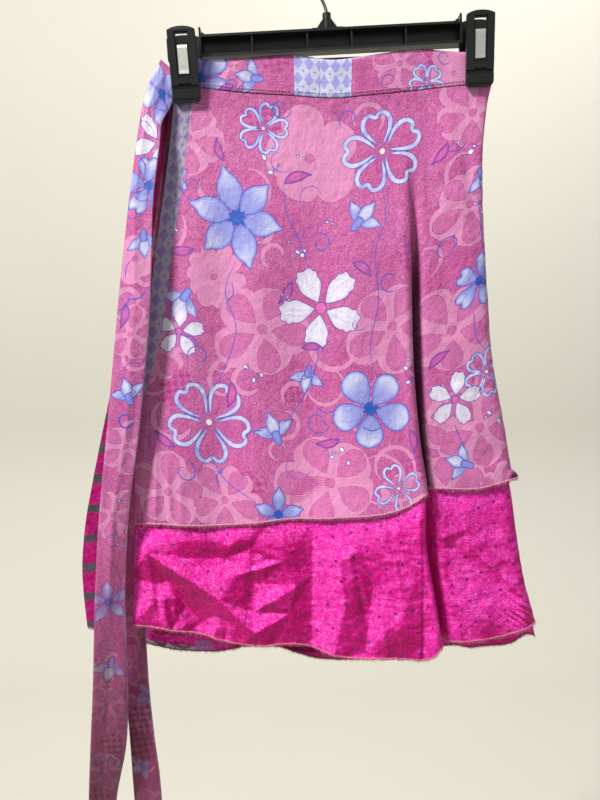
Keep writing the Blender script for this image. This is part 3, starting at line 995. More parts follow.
# ---- building the cloth ------------------------------------------------------------------------------------------------
def common_relief(X, Z, at):
    """Soft folds shared by both layers of the front, outwards, in mm. Z is the place down the hanging cloth."""
    d = 0.0
    left = 1 - smooth(0.6, 0.68, at)
    right = smooth(0.77, 0.82, at) * (1 - smooth(0.93, 1.0, at))
    low = smooth(-170, -330, Z)
    d = d + 1.5 * left * low * (
        ridge(X, Z, (-120, -150, -150, -640), 1.6, 26, 34, 8, 120) + ridge(X, Z, (-62, -190, -72, -640), 1.5, 30, 22, 10, 160)
        + trough(X, Z, (-95, -180, -112, -640), 1.4, 18, 120) + trough(X, Z, (-20, -170, -18, -640), 1.5, 26, 120)
        + ridge(X, Z, (28, -180, 34, -640), 1.2, 24, 20, 10, 120))
    d = d + right * (
        ridge(X, Z, (112, -150, 152, -330), 1.0, 12, 16, 4, 60) + trough(X, Z, (128, -160, 162, -350), 1.0, 7, 60)
        + ridge(X, Z, (120, -330, 165, -560), 1.2, 14, 20, 6, 80) + trough(X, Z, (108, -260, 140, -430), 0.9, 9, 60))
    d = d + 0.5 * noise2(X, Z * 0.6, 34, 11) * (0.3 + 0.7 * low)
    return d


def upper_relief(X, Z, at, t, length):
    below = length - t
    d = 0.0
    for x0, z0, x1, z1, h, w in ((-179, -466, -186, -575, 2.0, 3.4), (-168, -474, -171, -575, 2.3, 3.8), (-157, -486, -156, -575, 1.5, 3.2),
                                 (-145, -506, -143, -575, 1.2, 3.6), (-174, -500, -176, -575, 0.6, 2.0), (-131, -530, -132, -575, 0.5, 4.0)):
        d = d + ridge(X, Z, (x0, z0, x1, z1), h, w, w, 1.2, 34)
    d = d + trough(X, Z, (-12, -500, -12, -575), 0.5, 2.2, 30)
    hem = smooth(34, 0, below)
    d = d + hem * (0.9 * np.sin(X / 23.0 + 0.8) + 0.6 * np.sin(X / 9.7 + 2.0) + 0.4)
    # gathers just below the waist seam
    top = smooth(34, 2, t)
    d = d + top * 0.45 * np.sin(X / 5.3 + 1.4 * np.sin(X / 21.0)) * (0.5 + 0.5 * np.sin(X / 37.0 + 1.0))
    d = d + 0.16 * noise2(X, Z, 9, 23)
    d = d + 0.5 * smooth(0.78, 0.84, at) * noise2(X * 0.94 + Z * 0.35, Z * 0.94 - X * 0.35, 15, 31) * smooth(-150, -240, Z)
    return d


PANEL_POINTS = [
    (-199, -584.2, 0), (-180, -592.5, 6.4), (-200.1, -620.9, 1), (-201.6, -672.1, 1), (-162.5, -624.1, -2.6), (-142.7, -650.7, -4.2),
    (-127.7, -667.8, -4.0), (-130, -625.2, 7.6), (-106.8, -640, 8.4), (-71.4, -675.3, 7), (-110.1, -659.2, 3), (-113.7, -693.7, 0),
    (-158.6, -676.4, 3.6), (-170.1, -642.2, 4.0), (-181.3, -678.6, 0.2), (-145.5, -685, 0.2), (-91.1, -698, 0.5), (-56.1, -698, 2),
    (-143.1, -570.7, 2.5), (-117.9, -566.5, 3.4), (-85.7, -572.7, 5.4), (-136.6, -597.8, 1.4), (-104.2, -599.9, 0.6), (-73.7, -587.3, -0.5),
    (-161.4, -574.8, 3.4), (-186.4, -568.6, 1), (-65.9, -625.2, -1.6), (-73.3, -655, 0), (-53.8, -642.2, 4.6), (-35.4, -655, 2.5),
    (-25.2, -693.7, 1), (-40.4, -599.9, 3.6), (-13.1, -560.3, -0.5), (-13, -615.7, -1.8), (-12.8, -695.9, -1.4), (15.3, -599.9, 4.4),
    (20.7, -644.3, 5.4), (8.8, -702.4, 3), (41.7, -695.9, 0.6), (35.4, -579, 1), (48.1, -626.2, -1.0), (71, -599.9, 3.2),
    (79.1, -652.8, 4.4), (75, -711.1, 2), (92.3, -599.9, 1), (97.5, -655, 1), (98.6, -706.7, 1), (-197.9, -550, 0), (-160.8, -550, 1),
    (-125.6, -547.9, 1), (-85.4, -543.8, 1), (-45.2, -537.6, 1), (-13.2, -535.6, 0.5), (24.8, -531.5, 1), (64.8, -525.3, 1),
    (94.7, -521.2, 0.5), (-172.8, -626.2, 1.2), (-151.7, -642.2, 0.6), (-91.2, -615.7, 3.8), (-57.6, -599.9, 0.4), (-29.3, -626.2, 3.4)]
PANEL_CREASES = [(1, 7), (7, 8), (8, 9), (1, 4), (4, 5), (5, 6), (6, 10), (32, 33), (33, 34), (28, 29), (26, 27), (35, 36), (40, 38), (12, 13), (20, 22), (58, 31)]
FLAP_POINTS = [
    (105, -517.6, 0.5), (145.1, -517.6, 0.8), (187.1, -515.6, 0.5), (112.5, -579.7, 1.5), (146.6, -567.1, 3), (193.1, -569.2, 0.5),
    (128.9, -588, -2.2), (158.1, -613.3, -3.0), (187.6, -640.9, -2.2), (123, -632.4, 5), (149.2, -655.9, 5.4), (180.5, -670.9, 3.8),
    (167.5, -588, 4.2), (196.9, -616.5, 2.8), (115.3, -696.9, 1), (150.5, -699.1, 2.5), (183.4, -694.7, 0.4), (216.1, -686.1, 1.5),
    (207.3, -645.2, 0.1), (221.3, -662.3, 0.5), (214.6, -600.6, 0), (139.8, -686.1, 0.3), (166.4, -679.6, 3.6)]
FLAP_CREASES = [(6, 7), (7, 8), (12, 13), (9, 10), (10, 11)]


def under_relief(X, Z, at, t, length):
    """The crumpled satin below the print: flat facets that meet in sharp creases, then smaller crushed folds on them."""
    d = 0.0
    L = 1 - smooth(0.66, 0.70, at)
    R = smooth(0.72, 0.77, at) * (1 - smooth(0.955, 1.0, at))
    d = d + L * plates(X, Z, PANEL_POINTS, PANEL_CREASES) + 0.5 * R * plates(X, Z, FLAP_POINTS, FLAP_CREASES)
    for k, (x0, z0) in enumerate(((148, -588), (140, -604), (160, -592), (168, -606), (182, -612))):
        d = d + R * ridge(X, Z, (x0, z0, 216 - k, -652 - 5 * k), 0.55, 1.7, 2.1, 0.5, 12)
    d = d + L * (
        ridge(X, Z, (-165, -630, -160, -676), 1.2, 5, 4, 0.8, 20) + trough(X, Z, (-176, -604, -168, -662), 1.3, 2.6, 20)
        + trough(X, Z, (-160, -640, -154, -676), 1.1, 2.4, 18) + ridge(X, Z, (-149, -650, -142, -684), 1.0, 4, 3.5, 0.8, 16)
        + ridge(X, Z, (-118, -690, -108, -664), 1.6, 5, 6, 0.8, 12) + trough(X, Z, (-103, -692, -100, -668), 1.4, 3.5, 12)
        + trough(X, Z, (-70, -590, -76, -652), 1.3, 5, 22) + ridge(X, Z, (-60, -604, -66, -668), 1.2, 6, 5, 1.0, 20)
        + ridge(X, Z, (-48, -628, -20, -662), 1.1, 5, 6, 0.8, 14) + trough(X, Z, (-118, -588, -84, -612), 0.9, 4, 16)
        + ridge(X, Z, (18, -570, 38, -640), 1.2, 7, 5, 0.8, 22) + trough(X, Z, (28, -600, 44, -668), 1.1, 3.5, 20)
        + ridge(X, Z, (52, -640, 66, -702), 1.3, 6, 5, 0.8, 18) + trough(X, Z, (60, -560, 82, -622), 1.2, 4, 20)
        + trough(X, Z, (0, -656, 16, -700), 1.2, 4, 14))
    d = d + R * (
        ridge(X, Z, (176, -632, 218, -660), 1.3, 5, 4, 0.8, 14) + ridge(X, Z, (182, -645, 214, -671), 1.2, 4, 4, 0.8, 12)
        + trough(X, Z, (188, -636, 222, -656), 1.0, 2.6, 12) + ridge(X, Z, (134, -664, 142, -694), 1.4, 6, 5, 0.8, 10)
        + trough(X, Z, (120, -600, 138, -650), 1.0, 4, 18) + ridge(X, Z, (138, -540, 150, -600), 0.9, 6, 5, 1.2, 20))
    low = smooth(-545, -590, Z)
    fine = 0.42 * noise2(X * 0.8 + Z * 0.5, Z * 0.8 - X * 0.5, 13, 41, 3) + 0.26 * noise2(X * 0.6, Z * 1.5, 6.5, 47, 2)
    d = d + fine * (0.35 + 0.65 * low)
    hem = smooth(40, 0, length - t)
    d = d + hem * (1.1 * np.sin(X / 17.0 + 0.5) + 0.7 * np.sin(X / 7.9 + 1.0))
    return d


def shares(n, near_hem=None, fine=None):
    """Row places from the waist to the hem; with near_hem, that last share of the cloth gets most of the rows."""
    if near_hem is None:
        return np.linspace(0, 1, n)
    coarse = n - fine
    return np.concatenate([np.linspace(0, 1 - near_hem, coarse, endpoint=False), np.linspace(1 - near_hem, 1, fine)])


# ---- print layouts: generic flowers of the builder's own, in seeded and hand-set places -----------------------------
def front_layout(pr):
    for x, y, r, a, solid in ((-102, 48, 38, 10, False), (16, 58, 46, 40, True), (-22, 224, 46, 75, False), (105, 222, 44, 5, False),
                              (44, 372, 50, 30, False), (-118, 392, 38, 60, False), (-72, 176, 28, 20, True), (172, 26, 34, 15, False),
                              (232, 48, 34, 40, False), (180, 112, 38, 70, False), (238, 140, 40, 50, False), (196, 232, 44, 80, False),
                              (246, 236, 30, 10, True), (232, 330, 44, 10, False), (176, 318, 30, 50, False), (196, 392, 38, 45, False),
                              (254, 404, 34, 0, False), (-62, 396, 34, 15, False), (120, 396, 30, 20, False), (-130, 250, 32, 44, False)):
        pr.tonal_flower(x, y, r, a, 5, "round" if r > 37 else "heart", solid=solid)
    for x, y, r in ((-30, 22, 24), (-108, 288, 22), (12, 286, 18), (-40, 378, 22), (118, 150, 20), (132, 362, 20), (240, 92, 20), (150, 268, 14)):
        pr.checks(x, y, r, 0.62, 0.3 + x * 0.01)
    for x, y, a in ((4, 398, -60), (-122, 150, 70), (64, 258, 20), (246, 196, 100)):
        poly, _ = petal(x, y, a, 50, 30, "slim", bend=0.4)
        pr.fan(poly, x, y, a, 3.0, 0.9)
    vines(pr, 71, (150, 280), (15, 410), 26, 12, 24)
    vines(pr, 72, (-140, 110), (20, 410), 22, 14, 26)
    pr.bloom(-52, 118, 42, 12, 6, "point", 0.66)
    pr.bloom(86, 300, 36, 20, 5, "round", 0.76, fill=PERI, tips=PALE)
    pr.bloom(214, 186, 24, 50, 5, "heart", 0.7)
    pr.bloom(-8, 408, 24, 200, 5, "point", 0.62)
    pr.striped(34, 200, 36, 25)
    pr.striped(206, 300, 24, 60)
    pr.striped(-104, 232, 22, 130)
    for x, y, r, a in ((-98, 196, 26, 120), (-6, 330, 26, 250), (64, 122, 26, -50), (218, 366, 24, 200), (186, 84, 22, 60), (24, 262, 22, 100),
                       (-118, 86, 20, 30)):
        pr.bell(x, y, r, a)
    pr.outline_flower(-74, 318, 34, 15, 5)
    pr.outline_flower(86, 54, 32, 40, 5)
    pr.outline_flower(238, 276, 20, 0, 5, w=1.7)
    pr.outline_flower(-30, 32, 20, 70, 5, w=1.6)
    pr.outline_flower(112, 380, 20, 70, 4, w=1.6)
    for k, (x, y) in enumerate(((6, 146), (-118, 128), (128, 270), (56, 345), (-30, 268), (202, 122), (168, 60), (246, 320), (-20, 66))):
        pr.pebbles([(x + 8.5 * math.cos(1.9 * q + k), y + 7.5 * math.sin(2.3 * q + k), 2.1 + 0.7 * math.sin(5 * q + k)) for q in range(5)])
    for x, y, L, a in ((-8, 84, 28, -40), (-92, 152, 26, 160), (4, 176, 24, 100), (62, 158, 24, 20), (126, 322, 24, 60), (56, 328, 24, 150),
                       (-52, 276, 26, 80), (-108, 346, 24, 200), (16, 240, 22, -20), (150, 52, 24, 110), (178, 268, 24, -60), (-66, 66, 22, 230)):
        pr.leaf(x, y, L, a)
    # long drawn stems that join the motifs
    for pts in (((-52, 160), (-60, 190), (-48, 224), (-58, 262), (-72, 288)), ((-8, 84), (-4, 112), (10, 138), (22, 168)),
                ((86, 84), (92, 118), (84, 150), (90, 196), (84, 236), (88, 266)), ((34, 236), (30, 262), (16, 294), (-2, 318)),
                ((-74, 350), (-60, 376), (-30, 396)), ((214, 210), (222, 240), (236, 256)), ((206, 324), (214, 346), (216, 352)),
                ((186, 104), (196, 130), (208, 160))):
        pr.tendril(pts, 0.5)
    for x, y, r, a, n, g in ((-14, 12, 11, 0, 1.1, -8), (-96, 94, 12, 90, 1.0, -8), (30, 138, 11, 200, 1.1, -7), (100, 178, 12, 30, 1.0, -8),
                             (-84, 254, 12, 140, 1.0, -8), (34, 312, 12, 10, 1.1, -7), (-100, 370, 12, 280, 1.0, -8), (142, 398, 11, 60, 1.0, -7),
                             (170, 150, 12, 90, 1.1, -8), (252, 214, 11, 0, 1.0, -7), (166, 350, 12, 180, 1.0, -8), (52, 20, 10, 120, 1.0, -6)):
        pr.tendril(curl(x, y, r, a, n, g), 0.6)
    scatter(pr, 301, (-160, 290), (10, 430), 40)


def vines(pr, seed, sx, ty, n, small, large):
    """Broad pale curls, tone on tone, that cross each other like a loose lattice."""
    r = np.random.default_rng(seed)
    for k in range(n):
        x, y = r.uniform(*sx), r.uniform(*ty)
        pr.band_curl(curl(x, y, r.uniform(small, large), r.uniform(0, 360), r.uniform(0.45, 0.8) * (1 if k % 2 else -1), r.uniform(-9, 4), 10), r.uniform(1.8, 3.2))


def scatter(pr, seed, sx, ty, n, motifs=("tendril", "leaf", "pebble", "curl")):
    r = np.random.default_rng(seed)
    for k in range(n):
        x, y, a = r.uniform(*sx), r.uniform(*ty), r.uniform(0, 360)
        kind = motifs[k % len(motifs)]
        if kind == "tendril":
            pr.tendril(curl(x, y, r.uniform(8, 14), a, 0.6, -r.uniform(2, 6)), 0.5, VIOLET, "two")
        elif kind == "curl":
            pr.band_curl(curl(x, y, r.uniform(9, 15), a, 0.7, -4, 9), r.uniform(1.8, 3.0))
        elif kind == "leaf":
            pr.tendril([(x, y), (x + 12 * math.cos(a), y + 12 * math.sin(a)), (x + 22 * math.cos(a + 0.4), y + 22 * math.sin(a + 0.4))], 0.6)
        else:
            pr.pebbles([(x, y, 1.8), (x + 5.6, y + 2.0, 1.5)])


def other_layout(pr, seed, sx, ty, pitch=88):
    """The same motifs in seeded places, for the back and the bands."""
    r = np.random.default_rng(seed)
    kinds, k = ["bloom", "tonal", "bell", "outline", "striped", "tonal"], int(r.integers(0, 6))
    for y in np.arange(ty[0] + pitch * 0.3, ty[1] + pitch * 0.3, pitch * 0.78):
        slide = r.uniform(0, pitch)
        for x in np.arange(sx[0] - pitch * 0.5 + slide, sx[1] + pitch * 0.3, pitch):
            px, py, a = x + r.uniform(-13, 13), y + r.uniform(-12, 12), r.uniform(0, 360)
            kind, f = kinds[k % len(kinds)], r.uniform(0.78, 1.16) * min(1.0, pitch / 80)
            if r.random() < 0.75:
                pr.tonal_flower(px + r.uniform(24, 46), py + r.uniform(6, 34), r.uniform(28, 42), a + 30, 5, "round" if k % 3 else "heart", solid=bool(k % 4 == 1))
            if kind == "bloom":
                pr.bloom(px, py, 33 * f, a, 5 + k % 2, ("round", "point", "heart")[k % 3], 0.7)
            elif kind == "bell":
                pr.bell(px, py, 27 * f, a)
            elif kind == "outline":
                pr.outline_flower(px, py, 28 * f, a)
            elif kind == "striped":
                pr.striped(px, py, 32 * f, a)
            pr.checks(px - 34, py + r.uniform(10, 40), r.uniform(12, 22), 0.6, a)
            pr.tendril(curl(px + 30, py - 24, r.uniform(9, 14), a, 1.0, -7), 0.6)
            k += int(r.integers(1, 4))
    vines(pr, seed + 5, sx, ty, int((sx[1] - sx[0]) * (ty[1] - ty[0]) / 6500), 12, 26)
    scatter(pr, seed + 1, sx, ty, 30)


# ---- the layers ---------------------------------------------------------------------------------------------------------
def fold_mask(at):
    return 1 - 0.75 * smooth(0.66, 0.69, at) * (1 - smooth(0.75, 0.79, at))


def lay(side, offset, relief):
    return side.P + side.N * (offset + relief)[..., None]


def sheet_object(name, side, P, attrs, mat, outward):
    ob = add_object(name, P.reshape(-1, 3), grid_faces(*P.shape[:2], flip=facing(P, outward)), attrs)
    ob.data.materials.append(mat)
    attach(ob, "root")
    return ob


def area_of(P):
    a, b = np.diff(P, axis=1)[:-1], np.diff(P, axis=0)[:, :-1]
    return float(np.linalg.norm(np.cross(a, b), axis=2).sum()) * 1e-6


def nap(side, P, outward):
    """How far a fold tips the cloth's face, -0.6 to 0.6."""
    def normal(G):
        n = np.cross(np.gradient(G, axis=1), np.gradient(G, axis=0)) * outward
        return n / np.maximum(np.linalg.norm(n, axis=2, keepdims=True), 1e-9)
    way = np.array([-0.42, -0.35 * (1 if outward < 0 else -1), 0.84])
    d = (normal(P) - side.N) @ way
    return np.clip(d, -0.6, 0.6).ravel()


AREAS = {}
Q = 1.0
n_rows = lambda n: max(8, int(n / Q))

fu = Side(front_points, FRONT_AT, FRONT_LENGTH, "upper", 1.5 * Q, shares(n_rows(286)), -1, 0.36)
AT = fu.at[None, :] + 0 * fu.t
X, Z = fu.P[..., 0], fu.P[..., 2]
common_f = common_relief(X, Z, AT) * fold_mask(AT) * smooth(0, 26, fu.t)
P_fu = lay(fu, 0.85, common_f + upper_relief(X, Z, AT, fu.t, fu.length[None, :]) * fold_mask(AT) * smooth(0, 6, fu.t))
tip = smooth(0.966, 1.0, AT) * smooth(11, 2, fu.length[None, :] - fu.t)
P_fu += tip[..., None] * np.array([5.6, -2.4, 0.6])      # the hem's corner turns out and shows its dark inside
pr = Print(fu.s, fu.t)
front_layout(pr)
strip = np.interp(fu.t, [0, 190, 230, 265, 320], [17, 17, 16, 10, -1])
reach = (fu.edge - strip).ravel()
zero = np.zeros_like(reach)
recess = (smooth(0.690, 0.703, AT) * (1 - smooth(0.751, 0.762, AT)) * smooth(126, 180, fu.t) * (0.86 + 0.3 * smooth(190, 320, fu.t)) + 1.3 * smooth(0.06, 0.34, tip)).ravel()
mat_print = print_material("print_front", border=True)
lustre = (0.26 * np.exp(-((X - 33) / 70) ** 2 - ((Z + 525) / 62) ** 2) + 0.18 * np.exp(-((X + 70) / 42) ** 2 - ((Z + 520) / 60) ** 2)) * (1 - smooth(0.66, 0.69, AT)) + 0.11 * smooth(0.765, 0.81, AT) * (1 - smooth(0.95, 1.0, AT))
front_upper = sheet_object("front_upper", fu, P_fu, {**print_attrs(pr, fu.edge, np.stack([reach, recess, zero], 1)), "nap": nap(fu, P_fu, -1) + lustre.ravel()}, mat_print, -1)
AREAS["front_upper"] = area_of(P_fu)

un = Side(front_points, FRONT_AT, FRONT_LENGTH, "under", 1.3 * Q, shares(n_rows(190), 0.31, n_rows(138)), -1, 0.36)
AT = un.at[None, :] + 0 * un.t
X, Z = un.P[..., 0], un.P[..., 2]
hem_above = look_up(FRONT_LENGTH, "at", AT, "upper")
shown = smooth(hem_above - 2, hem_above + 24, un.t)
P_un = lay(un, -0.85, (common_relief(X, Z, AT) * smooth(0, 26, un.t) + shown * under_relief(X, Z, AT, un.t, un.length[None, :])) * fold_mask(AT)
           - 1.0 * (1 - shown) * smooth(0, 40, un.t))
P_un += un.N * (0.42 * np.sin((X * 0.61 + Z * 0.79) * TAU / 5.2 + 1.2 * noise2(X, Z, 14, 57)) * np.exp(-((X - 201) / 17) ** 2 - ((Z + 662) / 13) ** 2) * smooth(0, 4, un.length[None, :] - un.t))[..., None]
# where the crushed satin lies dull, and where it catches the light
lustre = 0.05 * smooth(0.775, 0.82, AT) * (1 - smooth(0.95, 1.0, AT))
for x0, z0, rx, rz, k in ((-124, -592, 30, 20, -0.13), (-46, -598, 26, 22, -0.07), (-44, -677, 30, 9, -0.10), (78, -690, 20, 12, -0.12),
                          (64, -630, 12, 24, -0.06), (-172, -585, 16, 14, 0.05), (-180, -650, 14, 24, 0.06), (30, -590, 34, 18, 0.05)):
    lustre = lustre + k * np.exp(-((X - x0) / rx) ** 2 - ((Z - z0) / rz) ** 2)
attrs = {"cloth": np.stack([un.s.ravel(), un.t.ravel(), un.edge.ravel()], 1), "nap": nap(un, P_un, -1) + lustre.ravel()}
mat_satin = satin_material("satin_front")
front_under = sheet_object("front_under", un, P_un, attrs, mat_satin, -1)
AREAS["front_under"] = area_of(P_un)

bu = Side(back_points, BACK_AT, BACK_LENGTH, "upper", 1.9 * Q, shares(n_rows(220)), 1, 0.416)
AT = bu.at[None, :] + 0 * bu.t
X, Z = bu.P[..., 0], bu.P[..., 2]
low = smooth(30, 220, bu.t) * (1 - smooth(0.93, 1.0, AT))


def back_relief(X, Z):
    return (ridge(X, Z, (-130, -180, -168, -640), 2.2, 30, 24, 8, 140) + ridge(X, Z, (-40, -200, -52, -640), 2.0, 22, 32, 9, 140)
            + trough(X, Z, (-90, -190, -108, -640), 1.8, 22, 120) + trough(X, Z, (20, -180, 28, -640), 1.8, 26, 120)
            + ridge(X, Z, (84, -200, 108, -640), 1.8, 24, 18, 8, 120) + trough(X, Z, (140, -240, 165, -640), 1.2, 14, 100)
            + 0.6 * noise2(X, Z * 0.6, 36, 61))


bu.P[..., 0] -= 7.0 * smooth(70, 14, bu.t) * smooth(34, 0, bu.edge) * smooth(0, 8, bu.t)
P_bu = lay(bu, 0.85, back_relief(X, Z) * low + 0.25 * noise2(X, Z, 10, 67) * smooth(0, 20, bu.t)
           + smooth(30, 0, bu.length[None, :] - bu.t) * 0.9 * np.sin(X / 21.0))
pb = Print(bu.s, bu.t)
other_layout(pb, 500, (-215, 300), (0, 440))
back_upper = sheet_object("back_upper", bu, P_bu, print_attrs(pb, bu.edge), print_material("print_back"), 1)
AREAS["back_upper"] = area_of(P_bu)

bn = Side(back_points, BACK_AT, BACK_LENGTH, "under", 2.1 * Q, shares(n_rows(250)), 1, 0.416)
AT = bn.at[None, :] + 0 * bn.t
X, Z = bn.P[..., 0], bn.P[..., 2]
low = smooth(30, 220, bn.t) * (1 - smooth(0.93, 1.0, AT))
hem_above = look_up(BACK_LENGTH, "at", AT, "upper")
shown_b = smooth(hem_above - 2, hem_above + 24, bn.t)
bn.P[..., 0] -= 7.0 * smooth(70, 14, bn.t) * smooth(34, 0, bn.edge) * smooth(0, 8, bn.t)
turned = [(-x * 1.06 - 8, z - 6, h) for x, z, h in PANEL_POINTS]
beside = [(x - 300, z + 2, h) for x, z, h in FLAP_POINTS]
crumple = plates(X, Z, turned, PANEL_CREASES) * smooth(-108, -92, X) + plates(X, Z, beside, FLAP_CREASES) * (1 - smooth(-124, -108, X)) * smooth(0, 40, bn.edge)
small = (ridge(X, Z, (-96, -560, -112, -650), 1.4, 7, 5, 0.9, 22) + trough(X, Z, (30, -590, 62, -660), 1.3, 4, 18) + ridge(X, Z, (96, -600, 128, -668), 1.3, 6, 5, 0.9, 18)
         + trough(X, Z, (150, -560, 176, -640), 1.2, 4, 20) + ridge(X, Z, (-30, -640, -6, -690), 1.3, 5, 6, 0.9, 14) + 0.3 * noise2(X * 0.6, Z * 1.5, 6.5, 73, 2))
P_bn = lay(bn, -0.85, back_relief(X, Z) * low - 0.9 * (1 - shown_b) * smooth(0, 40, bn.t)
           + shown_b * (crumple * 0.8 + small) * (1 - smooth(0.93, 1.0, AT))
           + shown_b * (0.5 * noise2(X, Z, 12, 71, 3) + smooth(40, 0, bn.length[None, :] - bn.t) * (1.2 * np.sin(X / 18.0) + 0.6 * np.sin(X / 8.3))))
X = bn.P[..., 0]
P_bn[..., 2] -= (7.0 * smooth(140, 165, X) * (1 - smooth(196, 222, X)) - 2.5 * smooth(206, 222, X)) * smooth(110, 0, bn.length[None, :] - bn.t)
attrs = {"nap": nap(bn, P_bn, 1), "cloth": np.stack([bn.s.ravel(), bn.t.ravel(), bn.edge.ravel()], 1),
         "place": np.stack([bn.edge.ravel(), (-Z - 455 + 12.5).ravel(), (bn.length[None, :] - bn.t).ravel()], 1)}
back_under = sheet_object("back_under", bn, P_bn, attrs, satin_material("satin_back", stripes=True), 1)
AREAS["back_under"] = area_of(P_bn)


# ---- overlocked hems ---------------------------------------------------------------------------------------------------
def overlock(name, P, side, mat, high=0.95, thick=0.6):
    """The overlocked edge: a lumpy wrapped roll, with loose thread ends and cloth fibres standing out of it."""
    line, nrm, up = P[-1], side.N[-1], P[-1] - P[-3]
    seg = np.concatenate([[0], np.cumsum(np.linalg.norm(np.diff(line, axis=0), axis=1))])
    run = np.arange(0, seg[-1], 0.5 * Q)
    at = lambda a: np.stack([np.interp(run, seg, a[:, k]) for k in range(3)], 1)
    c, n, d = at(line), at(nrm), at(up)
    n /= np.linalg.norm(n, axis=1, keepdims=True)
    d /= np.linalg.norm(d, axis=1, keepdims=True)
    beat = 1 + 0.24 * np.sin(TAU * run / 2.3) + 0.34 * noise2(run, run * 0, 1.9, 91)
    sway = 0.40 * noise2(run, run * 0, 3.1, 97) + 0.22 * noise2(run, run * 0, 1.2, 98)
    rings = []
    for q in range(8):
        a = TAU * q / 8
        lag = 1 + 0.24 * np.sin(TAU * run / 2.3 + 0.9 * q) + 0.18 * noise2(run, run * 0 + q * 3.0, 1.4, 93)
        rings.append(c - d * (0.8 - sway)[:, None] + n * (thick * math.cos(a) * beat)[:, None] + d * (high * math.sin(a) * lag)[:, None])
    V = np.stack(rings, 1)
    m = len(run)
    faces = grid_faces(m, 8, wrap=True)
    r = np.random.default_rng(m + len(name))
    k = r.integers(2, m - 2, int(seg[-1] * 2.8 / Q))
    along = np.gradient(c, axis=0)
    along /= np.linalg.norm(along, axis=1, keepdims=True)
    reach, lean, lift = r.uniform(0.9, 2.7, len(k)) * np.where(r.random(len(k)) < 0.12, 1.8, 1.0), r.uniform(-1.1, 1.1, len(k)), r.uniform(-0.5, 0.7, len(k))
    parts = []
    for step, fat in ((0.0, 0.17), (0.4, 0.15), (0.75, 0.11), (1.0, 0.04)):
        g = (reach * step)[:, None]
        mid = c[k] + d[k] * (sway[k][:, None] - 0.4 + g) + along[k] * g * lean[:, None] * (0.4 + 0.6 * step) + n[k] * g * lift[:, None]
        for q in range(3):
            a = TAU * q / 3
            parts.append(mid + fat * (along[k] * math.cos(a) + n[k] * math.sin(a)))
    F = np.stack(parts, 1)                                 # fibre, then 4 rings of 3
    base = m * 8 + np.arange(len(k))[:, None] * 12
    quads = np.concatenate([base + np.array([[i * 3 + q, i * 3 + (q + 1) % 3, i * 3 + 3 + (q + 1) % 3, i * 3 + 3 + q]]) for i in range(3) for q in range(3)])
    caps = np.concatenate([base + np.array([[2, 1, 0]]), base + np.array([[9, 10, 11]])])
    ob = add_object(name, np.concatenate([V.reshape(-1, 3), F.reshape(-1, 3)]),
                    [faces, np.arange(8)[None, ::-1], (m - 1) * 8 + np.arange(8)[None], quads, caps],
                    {"run": np.concatenate([np.repeat(run, 8), np.repeat(run[k] + 0.3, 12)])})
    ob.data.materials.append(mat)
    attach(ob, "root")
    return ob


mat_thread = thread_material("overlock_tan", lin(228, 164, 178), lin(192, 118, 144), 2.3, lin(210, 130, 174))
mat_thread_satin = thread_material("overlock_satin", lin(220, 146, 154), lin(178, 86, 116), 2.3, lin(206, 62, 134))
mat_thread_rose = thread_material("overlock_rose", lin(212, 140, 146), lin(160, 78, 104), 2.3, lin(190, 60, 120))
hem_fu = overlock("hem_front_upper", P_fu, fu, mat_thread)
hem_un = overlock("hem_front_under", P_un, un, mat_thread_satin)
hem_bu = overlock("hem_back_upper", P_bu, bu, mat_thread)
hem_bn = overlock("hem_back_under", P_bn, bn, mat_thread_rose)


